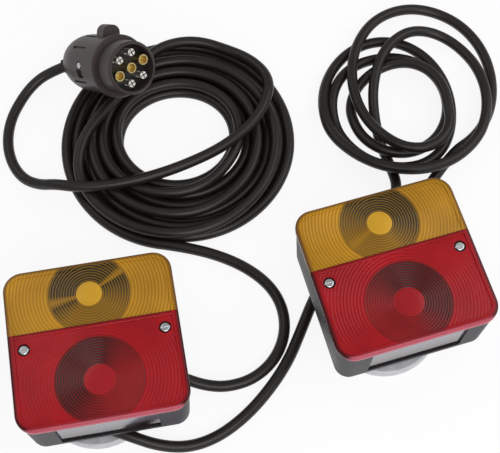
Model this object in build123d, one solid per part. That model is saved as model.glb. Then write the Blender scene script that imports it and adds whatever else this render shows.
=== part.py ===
from build123d import *
import math
import os

os.makedirs("parts", exist_ok=True)

# Magnetic trailer light set: two square rear lamps lying on their magnets, joined by a link lead,
# and a main lead with a seven-pin plug. Millimetres, +Z up, floor at z = 0. The origin is the centre
# of the left lamp's magnet face, with X along the lens' dividing line and Y towards the amber edge.

# Lamp housing
LAMP_WIDTH = 105.0
LAMP_HEIGHT = 102.0
LAMP_DEPTH = 49.5
LAMP_CORNER = 12.0
BASE_WALL = 2.5
BASE_DRAFT = 2.5
BASE_BACK_EDGE = 3.0
RIM_STEP = 0.8
DIVIDER_WALL = 1.6
GASKET_THICKNESS = 1.0
GASKET_WIDTH = 1.4

# Lens
AMBER_HEIGHT = 40.5
LENS_WALL = 2.5
LENS_SKIRT = 4.5
LENS_EDGE = 2.0
FIELD_BORDER = 4.0
FIELD_DEPTH = 0.9
RED_LEDGE = 2.6
FIELD_CORNER = 7.0
FIELD_GUTTER = 0.5

# Optic rings, concentric about each bulb
AMBER_EYE_FROM_EDGE = 20.9
RED_EYE_FROM_EDGE = 25.8
AMBER_DISC_RADIUS = 8.0
RED_DISC_RADIUS = 9.6
EYE_RING_PITCH = 3.4
EYE_RING_COUNT = 5
OUTER_RING_PITCH = 4.2
RING_RISE = 0.55
VALLEY_RISE = 0.08
DISC_RISE = 0.5

# Lens screws
SCREW_FROM_EDGE = 9.4
SCREW_BELOW_DIVIDE = 9.9
SCREW_HEAD_RADIUS = 3.1
SCREW_HEAD_HEIGHT = 2.2
SCREW_SHANK_RADIUS = 1.8
SCREW_LENGTH = 22.0
SCREW_SLOT = 0.9
WELL_RADIUS = 5.0
WELL_DEPTH = 2.6
WELL_WALL = 2.4
WELL_FLOOR = 1.9
SCREW_CLEARANCE = 0.1

# Number-plate window in the lower wall
WINDOW_WIDTH = 62.0
WINDOW_HEIGHT = 36.0
WINDOW_BELOW_RIM = 1.5
WINDOW_REACH = 8.0
WINDOW_RECESS = 1.2
WINDOW_CLEARANCE = 0.15
WINDOW_THICKNESS = 1.8

# Bulbs and their holders
BULB_RADIUS = 12.5
BULB_NECK_RADIUS = 6.6
BULB_NECK_REACH = 15.0
BULB_GLASS = 0.8
BULB_FACETS = 8
CAP_RADIUS = 7.5
CAP_LENGTH = 16.0
CAP_BUTTON_RADIUS = 2.5
CAP_BUTTON_HEIGHT = 1.0
BAYONET_RADIUS = 1.0
BAYONET_REACH = 1.6
BULB_LEVEL = 24.0
HOLDER_WALL = 0.9
HOLDER_CLEARANCE = 0.1
HOLDER_OVERLAP = 13.0
HOLDER_SLOT = 2.6
HOLDER_LEG_WIDTH = 13.0
HOLDER_FOOT = 14.0
RIVET_RADIUS = 1.6
RIVET_HEAD_RADIUS = 3.0
RIVET_HEAD_HEIGHT = 1.0

# Magnet
MAGNET_RADIUS = 37.0
MAGNET_HEIGHT = 7.5
MAGNET_CUP_WALL = 2.5
MAGNET_EDGE = 1.2
MAGNET_RECESS = 0.5
POLE_RADIUS = 12.0
SPACER_RADIUS = 12.0
SPACER_HEIGHT = 9.0
STUD_RADIUS = 3.0
STUD_GRIP = 5.0
STUD_ABOVE_NUT = 1.5
NUT_ACROSS_FLATS = 10.0
NUT_HEIGHT = 5.0
STUD_CLEARANCE = 0.1
MAGNET_X = -7.0
MAGNET_Y = -14.0

# Lead ports: inclined grommets in the back of the base
CORD_DIAMETER = 7.6
PORT_SLOPE = 25.0
GROMMET_RADIUS = 5.6
GROMMET_INSIDE = 8.0
GROMMET_OUTSIDE = 3.0
PORT_BOSS_WALL = 2.0
MAIN_PORT_FROM_SIDE = 25.5
MAIN_PORT_Y = -5.0
MAIN_PORT_HEADING = -26.6
LINK_PORT_X = -16.0
LINK_PORT_FROM_EDGE = 17.0
LINK_PORT_HEADING = -30.0
RIGHT_PORT_X = 20.0
RIGHT_PORT_FROM_EDGE = 9.0
RIGHT_PORT_HEADING = 37.0

# Seven-pin plug, from its front rim backwards
PLUG_BARREL_RADIUS = 18.0
PLUG_BARREL_LENGTH = 17.0
PLUG_WALL = 2.2
PLUG_CAVITY_DEPTH = 11.0
PLUG_FLANGE_RADIUS = 21.5
PLUG_FLANGE_THICKNESS = 3.5
PLUG_LENGTH = 76.0
PLUG_COVER_RADIUS = 20.0
PLUG_COVER_STRAIGHT = 31.5
PLUG_TAIL_RADIUS = 13.5
PLUG_EDGE = 1.0
PLUG_SPIGOT_LENGTH = 24.0
PLUG_FIT = 0.1
INSERT_THICKNESS = 12.0
CONTACT_CIRCLE = 10.4
CONTACT_TIP_BACK = 1.5
PIN_RADIUS = 2.5
PIN_SPLIT = 0.8
PIN_SPLIT_DEPTH = 6.0
SOCKET_RADIUS = 3.5
SOCKET_BORE = 2.6
SOCKET_DEPTH = 9.0
LUG_WIDTH = 13.0
LUG_LENGTH = 9.0
LUG_RISE = 7.5
LUG_ROOT = 1.6
LUG_BEHIND_FLANGE = 9.0
FLUTE_COUNT = 10
FLUTE_WIDTH = 1.8
FLUTE_LENGTH = 17.0
FLUTE_DEPTH = 1.0
FLUTE_BEHIND_FLANGE = 16.0
CLAMP_SCREW_TURN = 92.0
CLAMP_SCREW_BEHIND_FLANGE = 19.5
CLAMP_SCREW_HEAD_RADIUS = 2.3
CLAMP_SCREW_HEAD_HEIGHT = 1.4
CLAMP_SCREW_SHANK_RADIUS = 1.5
CLAMP_POCKET_RADIUS = 3.0
CLAMP_POCKET_DEPTH = 1.2
CLAMP_SLOT_TURN = 17.0
CLAMP_SLOT_WIDTH = 6.0
CLAMP_SLOT_LENGTH = 7.5
CLAMP_SLOT_DEPTH = 1.8
BOOT_BALL_RADIUS = 7.6
BOOT_BALL_OUT = 1.0
BOOT_STUB_RADIUS = 5.2
BOOT_STUB_REACH = 12.5

# How the pieces lie on the floor
RIGHT_LAMP_PLACE = (197.1, 30.0)
RIGHT_LAMP_TURN = 6.8
PLUG_FRONT = (54.8, 196.6, 70.0)
PLUG_HEADING = -49.7
PLUG_TILT = 41.0
CONTACT_ROLL = -8.4
LUG_ROLL = 140.0
BOOT_HEADING = 184.0
BOOT_DIP = 18.0

# Main coil: a pile of loose turns, low at its outer edge and high at its inner one
MAIN_COIL_CENTRE = (77.8, 173.3)
MAIN_COIL_INNER = 36.0
MAIN_COIL_OUTER = 81.0
MAIN_COIL_HEIGHT = 22.8
MAIN_COIL_SHOULDER = 50.0
MAIN_COIL_EDGE_HEIGHT = 7.6
MAIN_COIL_ROUND = 3.0

# Link coil: a bundle of turns, with two larger loops thrown over it
LINK_COIL_TURN = -9.9
BUNDLE_CENTRE = (231.5, 172.5)
BUNDLE_RADII = (54.5, 59.5)
BUNDLE_HOLE_CENTRE = (237.0, 169.0)
BUNDLE_HOLE_RADII = (28.0, 27.0)
BUNDLE_HEIGHT = 15.2
WIDE_LOOP_CENTRE = (259.8, 189.6)
WIDE_LOOP_RADII = (52.0, 63.0)
NARROW_LOOP_CENTRE = (260.9, 172.2)
NARROW_LOOP_RADII = (41.0, 58.0)
LOOP_HEIGHT = 8.0

# Levels shared by the pieces of a lamp
BACK_Z = MAGNET_HEIGHT + SPACER_HEIGHT
FACE_Z = BACK_Z + LAMP_DEPTH
SKIRT_Z = FACE_Z - LENS_SKIRT
RIM_Z = SKIRT_Z - GASKET_THICKNESS
FLOOR_Z = BACK_Z + BASE_WALL
DIVIDE_Y = LAMP_HEIGHT / 2 - AMBER_HEIGHT
AMBER_EYE = (0.0, LAMP_HEIGHT / 2 - AMBER_EYE_FROM_EDGE)
RED_EYE = (0.0, RED_EYE_FROM_EDGE - LAMP_HEIGHT / 2)
SCREW_X = LAMP_WIDTH / 2 - SCREW_FROM_EDGE
SCREW_Y = DIVIDE_Y - SCREW_BELOW_DIVIDE
WELL_FLOOR_Z = FACE_Z - WELL_DEPTH
BOSS_TOP_Z = WELL_FLOOR_Z - WELL_FLOOR
BULB_Z = FLOOR_Z + BULB_LEVEL
HOLDER_END = BULB_NECK_REACH + CAP_LENGTH + CAP_BUTTON_HEIGHT
FLANGE_BACK = -PLUG_BARREL_LENGTH - PLUG_FLANGE_THICKNESS
CORD_RADIUS = CORD_DIAMETER / 2
SPAN = 2 * (LAMP_WIDTH + LAMP_HEIGHT)


def box_between(low, high):
    """A block from its lowest corner to its highest."""
    size = [top - bottom for bottom, top in zip(low, high)]
    middle = [(top + bottom) / 2 for bottom, top in zip(low, high)]
    return Pos(*middle) * Box(*size)


def upright(radius, bottom, top, x=0.0, y=0.0):
    """A round column between two levels."""
    return Pos(x, y, (bottom + top) / 2) * Cylinder(radius, top - bottom)


def along(start, direction, radius, near, far):
    """A cylinder about a line, between two distances from its start."""
    line = Plane(origin=start, z_dir=direction)
    return line * Pos(0, 0, (near + far) / 2) * Cylinder(radius, far - near)


def turned(points):
    """A solid of revolution about Z from the (radius, height) corners of its section."""
    outline = Polyline(*[(radius, 0, height) for radius, height in points], close=True)
    return revolve(make_face(outline), axis=Axis.Z)


def lamp_outline(inset):
    """The lamp's rounded square, drawn in by an even margin."""
    return RectangleRounded(LAMP_WIDTH - 2 * inset, LAMP_HEIGHT - 2 * inset, LAMP_CORNER - inset)


def base_form(inset, bottom):
    """The base's drafted outer form, or one drawn in from it, down to a level."""
    rim = Plane.XY.offset(RIM_Z) * lamp_outline(RIM_STEP + inset)
    return extrude(rim, amount=RIM_Z - bottom, dir=(0, 0, -1), taper=BASE_DRAFT)


def port_axis(heading):
    """Where a lead points as it leaves the back of a lamp."""
    flat = math.cos(math.radians(PORT_SLOPE))
    turn = math.radians(heading)
    return (flat * math.cos(turn), flat * math.sin(turn), -math.sin(math.radians(PORT_SLOPE)))


def window_block(margin):
    """The span of the number-plate window through the lower wall."""
    half = WINDOW_WIDTH / 2 - margin
    top = RIM_Z - WINDOW_BELOW_RIM - margin
    bottom = RIM_Z - WINDOW_BELOW_RIM - WINDOW_HEIGHT + margin
    return box_between((-half, -LAMP_HEIGHT, bottom), (half, WINDOW_REACH - LAMP_HEIGHT / 2, top))


def base(ports, hand):
    """The moulded housing: drafted shell, divider, screw bosses, lead ports and window opening."""
    form = base_form(0, BACK_Z)
    back = form.faces().sort_by(Axis.Z)[0]
    form = fillet(back.edges(), BASE_BACK_EDGE)
    shell = form - base_form(BASE_WALL, FLOOR_Z)
    near = DIVIDE_Y - DIVIDER_WALL / 2
    divider = box_between((-SPAN, near, BACK_Z), (SPAN, near + DIVIDER_WALL, RIM_Z))
    shell += divider & form
    for side in (-1, 1):
        x = side * SCREW_X
        shell += upright(WELL_RADIUS, FLOOR_Z - BASE_WALL / 2, BOSS_TOP_Z, x, SCREW_Y)
        pilot = SCREW_SHANK_RADIUS + SCREW_CLEARANCE
        shell -= upright(pilot, WELL_FLOOR_Z - SCREW_LENGTH - GASKET_THICKNESS, BOSS_TOP_Z, x, SCREW_Y)
    for place, heading in ports:
        start = (place[0], place[1], BACK_Z)
        axis = port_axis(heading)
        boss = along(start, axis, GROMMET_RADIUS + PORT_BOSS_WALL, -GROMMET_INSIDE, GROMMET_INSIDE)
        shell += boss & form
        shell -= along(start, axis, GROMMET_RADIUS, -2 * GROMMET_INSIDE, 2 * GROMMET_INSIDE)
    shell -= window_block(0)
    shell -= upright(STUD_RADIUS + STUD_CLEARANCE, BACK_Z, FLOOR_Z, MAGNET_X, MAGNET_Y)
    for eye in (AMBER_EYE, RED_EYE):
        shell -= upright(RIVET_RADIUS, BACK_Z, FLOOR_Z, *rivet_place(eye, hand))
    return shell


def plate_window():
    """The clear pane set back in the lower wall, over the number plate."""
    pane = base_form(WINDOW_RECESS, FLOOR_Z) - base_form(WINDOW_RECESS + WINDOW_THICKNESS, FLOOR_Z)
    return pane & window_block(WINDOW_CLEARANCE)


def gasket():
    """The seal between the base's rim and the lens' skirt."""
    outer = lamp_outline(RIM_STEP)
    inner = lamp_outline(RIM_STEP + GASKET_WIDTH)
    return extrude(Plane.XY.offset(RIM_Z) * (outer - inner), amount=GASKET_THICKNESS)


def lens_cap():
    """The two-colour lens before it is split: a shallow cap with a rounded front edge."""
    cap = extrude(Plane.XY.offset(SKIRT_Z) * lamp_outline(0), amount=LENS_SKIRT)
    front = cap.faces().sort_by(Axis.Z)[-1]
    cap = fillet(front.edges(), LENS_EDGE)
    hollow = Plane.XY.offset(SKIRT_Z) * lamp_outline(LENS_WALL)
    return cap - extrude(hollow, amount=LENS_SKIRT - LENS_WALL)


def field(low_y, high_y, inset):
    """The outline of a sunk optic field between two edges."""
    width = LAMP_WIDTH - 2 * FIELD_BORDER - 2 * inset
    height = high_y - low_y - 2 * inset
    return Pos(0, (low_y + high_y) / 2) * RectangleRounded(width, height, FIELD_CORNER - inset)


def optic(eye, disc_radius):
    """A bull's-eye and the concentric rings round it, proud of the field's floor."""
    section = [(0, -FIELD_DEPTH / 2), (0, DISC_RISE), (disc_radius, VALLEY_RISE)]
    radius = disc_radius
    reach = math.hypot(LAMP_WIDTH, LAMP_HEIGHT) / 2
    while radius < reach:
        eye_zone = radius < disc_radius + EYE_RING_COUNT * EYE_RING_PITCH - EYE_RING_PITCH / 2
        pitch = EYE_RING_PITCH if eye_zone else OUTER_RING_PITCH
        section += [(radius + pitch / 2, RING_RISE), (radius + pitch, VALLEY_RISE)]
        radius += pitch
    section.append((radius, -FIELD_DEPTH / 2))
    return Pos(eye[0], eye[1], FACE_Z - FIELD_DEPTH) * turned(section)


def lens(low_y, high_y, eye, disc_radius, ledge):
    """One colour of the lens, with its optic rings in a sunk field."""
    part = lens_cap() & box_between((-SPAN, low_y, 0), (SPAN, high_y, 2 * FACE_Z))
    floor = FACE_Z - FIELD_DEPTH
    bottom = max(low_y, -LAMP_HEIGHT / 2 + FIELD_BORDER)
    top = min(high_y - ledge, LAMP_HEIGHT / 2 - FIELD_BORDER)
    part -= extrude(Plane.XY.offset(floor) * field(bottom, top, 0), amount=2 * FIELD_DEPTH)
    ringed = Plane.XY.offset(floor - FIELD_DEPTH) * field(bottom, top, FIELD_GUTTER)
    ringed = extrude(ringed, amount=3 * FIELD_DEPTH)
    return part + (optic(eye, disc_radius) & ringed)


def amber_lens():
    """The upper, amber half: turn indicator."""
    return lens(DIVIDE_Y, LAMP_HEIGHT, AMBER_EYE, AMBER_DISC_RADIUS, 0)


def red_lens():
    """The lower, red half: stop and tail light, with the two screw wells."""
    part = lens(-LAMP_HEIGHT, DIVIDE_Y, RED_EYE, RED_DISC_RADIUS, RED_LEDGE)
    form = extrude(Plane.XY * lamp_outline(RIM_STEP), amount=FACE_Z)
    for side in (-1, 1):
        x = side * SCREW_X
        part += upright(WELL_RADIUS + WELL_WALL, BOSS_TOP_Z, FACE_Z - FIELD_DEPTH, x, SCREW_Y) & form
        part -= upright(WELL_RADIUS, WELL_FLOOR_Z, 2 * FACE_Z, x, SCREW_Y)
        part -= upright(SCREW_SHANK_RADIUS + SCREW_CLEARANCE, BOSS_TOP_Z, WELL_FLOOR_Z, x, SCREW_Y)
    return part


def lens_screws():
    """The two pan-head screws that hold the lens."""
    screws = []
    for side in (-1, 1):
        x = side * SCREW_X
        screw = upright(SCREW_HEAD_RADIUS, WELL_FLOOR_Z, WELL_FLOOR_Z + SCREW_HEAD_HEIGHT, x, SCREW_Y)
        screw = fillet(screw.edges().sort_by(Axis.Z)[-1], SCREW_HEAD_HEIGHT / 2)
        screw += upright(SCREW_SHANK_RADIUS, WELL_FLOOR_Z - SCREW_LENGTH, WELL_FLOOR_Z, x, SCREW_Y)
        slot = Box(2 * SCREW_HEAD_RADIUS, SCREW_SLOT, SCREW_HEAD_HEIGHT)
        screws.append(screw - Pos(x, SCREW_Y, WELL_FLOOR_Z + SCREW_HEAD_HEIGHT) * slot)
    return screws


def bulb_line(eye, hand):
    """A lying bulb's axis: along X from the middle of its globe, towards the lamp's hand."""
    return Plane(origin=(eye[0], eye[1], BULB_Z), x_dir=(0, 1, 0), z_dir=(hand, 0, 0))


def bulb_section(radius, neck):
    """Half of a bulb's outline, from the top of its globe round to the end of its neck."""
    meet = math.asin(neck / radius)
    turns = [math.pi - index * (math.pi - meet) / BULB_FACETS for index in range(BULB_FACETS + 1)]
    globe = [(radius * math.sin(turn), radius * math.cos(turn)) for turn in turns[1:]]
    return [(0, -radius), *globe, (neck, BULB_NECK_REACH)]


def bulb_glass(eye, hand):
    """A bulb's glass: a thin globe drawn into a neck, open where the cap closes it."""
    outside = bulb_section(BULB_RADIUS, BULB_NECK_RADIUS)
    inside = bulb_section(BULB_RADIUS - BULB_GLASS, BULB_NECK_RADIUS - BULB_GLASS)
    return bulb_line(eye, hand) * turned(outside + inside[::-1])


def bulb_cap(eye, hand):
    """A bulb's bayonet cap, with its two side pins and end contact."""
    start = BULB_NECK_REACH
    cap = Pos(0, 0, start + CAP_LENGTH / 2) * Cylinder(CAP_RADIUS, CAP_LENGTH)
    button_z = start + CAP_LENGTH + CAP_BUTTON_HEIGHT / 2
    cap += Pos(0, 0, button_z) * Cylinder(CAP_BUTTON_RADIUS, CAP_BUTTON_HEIGHT)
    pin_z = start + CAP_LENGTH / 2
    pin = Rot(0, 90, 0) * Cylinder(BAYONET_RADIUS, 2 * (CAP_RADIUS + BAYONET_REACH))
    return bulb_line(eye, hand) * (cap + Pos(0, 0, pin_z) * pin)


def rivet_place(eye, hand):
    """Where a holder's foot is riveted to the floor of the base."""
    return (eye[0] + hand * (HOLDER_END - HOLDER_FOOT / 2), eye[1])


def bulb_holder(eye, hand):
    """A pressed holder: slotted sleeve, end wall, leg and foot in one piece."""
    end = HOLDER_END
    bore = CAP_RADIUS + HOLDER_CLEARANCE
    rim = end - HOLDER_OVERLAP
    sleeve = Pos(0, 0, (rim + end) / 2) * Cylinder(bore + HOLDER_WALL, end - rim)
    sleeve -= Pos(0, 0, (rim + end) / 2) * Cylinder(bore, end - rim)
    pin_z = BULB_NECK_REACH + CAP_LENGTH / 2
    slot_end = pin_z + HOLDER_SLOT / 2
    slot = Pos(0, 0, (rim + slot_end) / 2) * Box(4 * bore, HOLDER_SLOT, slot_end - rim)
    sleeve -= slot
    wall = Pos(0, 0, end + HOLDER_WALL / 2) * Cylinder(bore + HOLDER_WALL, HOLDER_WALL)
    holder = bulb_line(eye, hand) * (sleeve + wall)
    back = eye[0] + hand * (end + HOLDER_WALL)
    half = HOLDER_LEG_WIDTH / 2
    for reach, top in ((end, BULB_Z), (end - HOLDER_FOOT, FLOOR_Z + HOLDER_WALL)):
        near = eye[0] + hand * reach
        low = (min(near, back), eye[1] - half, FLOOR_Z)
        holder += box_between(low, (max(near, back), eye[1] + half, top))
    return holder - upright(RIVET_RADIUS, FLOOR_Z, FLOOR_Z + HOLDER_WALL, *rivet_place(eye, hand))


def holder_rivets(hand):
    """The rivets through the holders' feet and the floor of the base."""
    rivets = []
    for eye in (AMBER_EYE, RED_EYE):
        place = rivet_place(eye, hand)
        top = FLOOR_Z + HOLDER_WALL
        rivet = upright(RIVET_RADIUS, BACK_Z, top, *place)
        rivet += upright(RIVET_HEAD_RADIUS, top, top + RIVET_HEAD_HEIGHT, *place)
        rivet += upright(RIVET_HEAD_RADIUS, BACK_Z - RIVET_HEAD_HEIGHT, BACK_Z, *place)
        rivets.append(rivet)
    return rivets


def magnet_cup():
    """The magnet's steel cup, with its centre pole tapped for the stud."""
    roof = MAGNET_HEIGHT - MAGNET_CUP_WALL
    section = [
        (0, 0),
        (POLE_RADIUS, 0),
        (POLE_RADIUS, roof),
        (MAGNET_RADIUS - MAGNET_CUP_WALL, roof),
        (MAGNET_RADIUS - MAGNET_CUP_WALL, 0),
        (MAGNET_RADIUS, 0),
        (MAGNET_RADIUS, MAGNET_HEIGHT - MAGNET_EDGE),
        (MAGNET_RADIUS - MAGNET_EDGE, MAGNET_HEIGHT),
        (STUD_RADIUS, MAGNET_HEIGHT),
        (STUD_RADIUS, MAGNET_HEIGHT - STUD_GRIP),
        (0, MAGNET_HEIGHT - STUD_GRIP),
    ]
    return Pos(MAGNET_X, MAGNET_Y) * turned(section)


def magnet_stud():
    """The stud from the magnet's pole up through the spacer and the base."""
    top = FLOOR_Z + NUT_HEIGHT + STUD_ABOVE_NUT
    return upright(STUD_RADIUS, MAGNET_HEIGHT - STUD_GRIP, top, MAGNET_X, MAGNET_Y)


def magnet_ring():
    """The ferrite ring pressed into the cup, just short of its rim."""
    roof = MAGNET_HEIGHT - MAGNET_CUP_WALL
    outer = MAGNET_RADIUS - MAGNET_CUP_WALL
    section = [(POLE_RADIUS, MAGNET_RECESS), (outer, MAGNET_RECESS), (outer, roof), (POLE_RADIUS, roof)]
    return Pos(MAGNET_X, MAGNET_Y) * turned(section)


def magnet_spacer():
    """The rubber spacer between the magnet and the base."""
    hole = STUD_RADIUS + STUD_CLEARANCE
    section = [(hole, MAGNET_HEIGHT), (SPACER_RADIUS, MAGNET_HEIGHT), (SPACER_RADIUS, BACK_Z), (hole, BACK_Z)]
    return Pos(MAGNET_X, MAGNET_Y) * turned(section)


def magnet_nut():
    """The nut on the magnet's stud, inside the base."""
    flats = RegularPolygon(NUT_ACROSS_FLATS / 2, 6, major_radius=False)
    section = flats - Circle(STUD_RADIUS + STUD_CLEARANCE)
    nut = extrude(Plane.XY.offset(FLOOR_Z) * section, amount=NUT_HEIGHT)
    return Pos(MAGNET_X, MAGNET_Y) * nut


def grommet(port):
    """A moulded grommet on a lead, set aslant in the back of the base."""
    place, heading = port
    start = (place[0], place[1], BACK_Z)
    return along(start, port_axis(heading), GROMMET_RADIUS, -GROMMET_INSIDE, GROMMET_OUTSIDE)


def lamp_pieces(ports, hand):
    """Every piece of one lamp, about the middle of its outline."""
    return {
        "base": base(ports, hand),
        "plate_window": plate_window(),
        "lens_gasket": gasket(),
        "amber_lens": amber_lens(),
        "red_lens": red_lens(),
        "lens_screws": lens_screws(),
        "indicator_bulb": bulb_glass(AMBER_EYE, hand),
        "indicator_bulb_cap": bulb_cap(AMBER_EYE, hand),
        "indicator_bulb_holder": bulb_holder(AMBER_EYE, hand),
        "tail_bulb": bulb_glass(RED_EYE, hand),
        "tail_bulb_cap": bulb_cap(RED_EYE, hand),
        "tail_bulb_holder": bulb_holder(RED_EYE, hand),
        "holder_rivets": holder_rivets(hand),
        "magnet_cup": magnet_cup(),
        "magnet_ring": magnet_ring(),
        "magnet_spacer": magnet_spacer(),
        "magnet_stud": magnet_stud(),
        "magnet_nut": magnet_nut(),
    }


def plug_front():
    """The plug's front moulding: open barrel, flange and a spigot for the cover."""
    bore = PLUG_BARREL_RADIUS - PLUG_WALL
    spigot = PLUG_COVER_RADIUS - PLUG_WALL - PLUG_FIT
    end = FLANGE_BACK - PLUG_SPIGOT_LENGTH
    seat = -PLUG_CAVITY_DEPTH - INSERT_THICKNESS
    section = [
        (bore, 0),
        (PLUG_BARREL_RADIUS - PLUG_EDGE, 0),
        (PLUG_BARREL_RADIUS, -PLUG_EDGE),
        (PLUG_BARREL_RADIUS, -PLUG_BARREL_LENGTH),
        (PLUG_FLANGE_RADIUS - PLUG_EDGE, -PLUG_BARREL_LENGTH),
        (PLUG_FLANGE_RADIUS, -PLUG_BARREL_LENGTH - PLUG_EDGE),
        (PLUG_FLANGE_RADIUS, FLANGE_BACK),
        (spigot, FLANGE_BACK),
        (spigot, end),
        (bore - PLUG_WALL, end),
        (bore - PLUG_WALL, seat),
        (bore, seat),
    ]
    return turned(section)


def domed(margin, end):
    """The rear cover's form, drawn in by a margin: straight, then along an arc to its tail."""
    radius = PLUG_COVER_RADIUS - margin
    tail = PLUG_TAIL_RADIUS - margin
    knee = FLANGE_BACK - PLUG_COVER_STRAIGHT
    sides = Polyline((0, 0, end), (0, 0, FLANGE_BACK), (radius, 0, FLANGE_BACK), (radius, 0, knee))
    shoulder = TangentArc((radius, 0, knee), (tail, 0, end), tangent=(0, 0, -1))
    back = Line((tail, 0, end), (0, 0, end))
    return revolve(make_face(sides.edges() + shoulder.edges() + back.edges()), axis=Axis.Z)


def clamp_screw_line():
    """The clamp screw's axis, out of the side of the cover."""
    return Rot(0, 0, CLAMP_SCREW_TURN) * Pos(0, 0, FLANGE_BACK - CLAMP_SCREW_BEHIND_FLANGE) * Rot(-90, 0, 0)


def plug_cover():
    """The rear cover: a domed shell with a lid lug, flutes, a clamp pocket and a mouth for the boot."""
    end = -PLUG_LENGTH
    form = domed(0, end)
    form = fillet(form.edges().sort_by(Axis.Z)[0], PLUG_EDGE)
    lug_front = FLANGE_BACK - LUG_BEHIND_FLANGE
    lug = box_between((-LUG_WIDTH / 2, PLUG_COVER_RADIUS - LUG_ROOT, lug_front - LUG_LENGTH),
                      (LUG_WIDTH / 2, PLUG_COVER_RADIUS + LUG_RISE, lug_front))
    lug = fillet(lug.edges().filter_by(Axis.Z).group_by(Axis.Y)[-1], LUG_WIDTH / 2 - PLUG_EDGE)
    cover = form + lug - domed(PLUG_WALL, end + PLUG_WALL) - upright(BOOT_BALL_RADIUS, end, end + PLUG_WALL)
    flute_front = FLANGE_BACK - FLUTE_BEHIND_FLANGE
    flute = box_between((-FLUTE_WIDTH / 2, PLUG_COVER_RADIUS - FLUTE_DEPTH, flute_front - FLUTE_LENGTH),
                        (FLUTE_WIDTH / 2, 2 * PLUG_COVER_RADIUS, flute_front))
    for index in range(1, FLUTE_COUNT):
        cover -= Rot(0, 0, CLAMP_SCREW_TURN + index * 360 / FLUTE_COUNT) * flute
    slot_front = FLANGE_BACK - CLAMP_SCREW_BEHIND_FLANGE + CLAMP_SLOT_LENGTH / 2
    slot_floor = PLUG_COVER_RADIUS - CLAMP_SLOT_DEPTH
    slot = box_between((-CLAMP_SLOT_WIDTH / 2, slot_floor, slot_front - CLAMP_SLOT_LENGTH),
                       (CLAMP_SLOT_WIDTH / 2, 2 * PLUG_COVER_RADIUS, slot_front))
    cover -= Rot(0, 0, CLAMP_SCREW_TURN + CLAMP_SLOT_TURN) * slot
    seat = PLUG_COVER_RADIUS - CLAMP_POCKET_DEPTH
    cover -= clamp_screw_line() * upright(CLAMP_POCKET_RADIUS, seat, 2 * PLUG_COVER_RADIUS)
    return cover - clamp_screw_line() * upright(CLAMP_SCREW_SHANK_RADIUS + PLUG_FIT, seat - PLUG_WALL, seat)


def plug_clamp_screw():
    """The screw in the cover's side pocket, which bears on the front moulding's spigot."""
    seat = PLUG_COVER_RADIUS - CLAMP_POCKET_DEPTH
    top = seat + CLAMP_SCREW_HEAD_HEIGHT
    screw = upright(CLAMP_SCREW_HEAD_RADIUS, seat, top)
    screw = fillet(screw.edges().sort_by(Axis.Z)[-1], CLAMP_SCREW_HEAD_HEIGHT / 2)
    screw += upright(CLAMP_SCREW_SHANK_RADIUS, PLUG_COVER_RADIUS - PLUG_WALL - PLUG_FIT, seat)
    slot = Box(2 * CLAMP_SCREW_HEAD_RADIUS, SCREW_SLOT, CLAMP_SCREW_HEAD_HEIGHT)
    return clamp_screw_line() * (screw - Pos(0, 0, top) * slot)


def contact_places():
    """The six contacts round the middle one: sockets first and fourth, pins between."""
    for index in range(6):
        turn = math.radians(60 * index)
        place = (CONTACT_CIRCLE * math.cos(turn), CONTACT_CIRCLE * math.sin(turn))
        yield place, index % 3 == 0


def plug_insert():
    """The contact carrier in the barrel, bored for the contacts."""
    face = -PLUG_CAVITY_DEPTH
    radius = PLUG_BARREL_RADIUS - PLUG_WALL
    insert = upright(radius, face - INSERT_THICKNESS, face)
    insert -= upright(SOCKET_RADIUS, face - INSERT_THICKNESS, face)
    for place, is_socket in contact_places():
        insert -= upright(SOCKET_RADIUS if is_socket else PIN_RADIUS, face - INSERT_THICKNESS, face, *place)
    return insert


def plug_pins():
    """The four split pins."""
    tip = -CONTACT_TIP_BACK
    back = -PLUG_CAVITY_DEPTH - INSERT_THICKNESS
    pins = []
    for place, is_socket in contact_places():
        if is_socket:
            continue
        pin = upright(PIN_RADIUS, back, tip, *place)
        for slit in ((4 * PIN_RADIUS, PIN_SPLIT), (PIN_SPLIT, 4 * PIN_RADIUS)):
            pin -= Pos(*place, tip - PIN_SPLIT_DEPTH / 2) * Box(*slit, PIN_SPLIT_DEPTH)
        pins.append(pin)
    return pins


def plug_sockets():
    """The three tube contacts."""
    tip = -CONTACT_TIP_BACK
    back = -PLUG_CAVITY_DEPTH - INSERT_THICKNESS
    places = [(0.0, 0.0)] + [place for place, is_socket in contact_places() if is_socket]
    sockets = []
    for place in places:
        tube = upright(SOCKET_RADIUS, back, tip, *place)
        sockets.append(tube - upright(SOCKET_BORE, tip - SOCKET_DEPTH, tip, *place))
    return sockets


def plug_frame():
    """The plug's own frame: Z out of its front, X at its first socket."""
    turn = math.radians(PLUG_HEADING)
    tilt = math.radians(PLUG_TILT)
    ahead = Vector(math.cos(tilt) * math.cos(turn), math.cos(tilt) * math.sin(turn), math.sin(tilt))
    side = Vector(math.sin(turn), -math.cos(turn), 0)
    return Plane(origin=PLUG_FRONT, x_dir=side, z_dir=ahead)


def boot_line():
    """Where the main lead leaves the plug: the ball's middle and the way the lead points."""
    middle = plug_frame().from_local_coords(Vector(0, 0, -PLUG_LENGTH - BOOT_BALL_OUT))
    turn = math.radians(BOOT_HEADING)
    dip = math.radians(BOOT_DIP)
    return middle, Vector(math.cos(dip) * math.cos(turn), math.cos(dip) * math.sin(turn), -math.sin(dip))


def plug_boot():
    """The rubber boot on the lead: a collar in the cover's mouth, a ball end and a stub along the lead."""
    middle, ahead = boot_line()
    collar = plug_frame() * upright(BOOT_BALL_RADIUS, -PLUG_LENGTH - BOOT_BALL_OUT, -PLUG_LENGTH + PLUG_WALL)
    stub = along(middle, ahead, BOOT_STUB_RADIUS, 0, BOOT_STUB_REACH)
    return collar + Pos(*middle) * Sphere(BOOT_BALL_RADIUS) + stub


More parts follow.
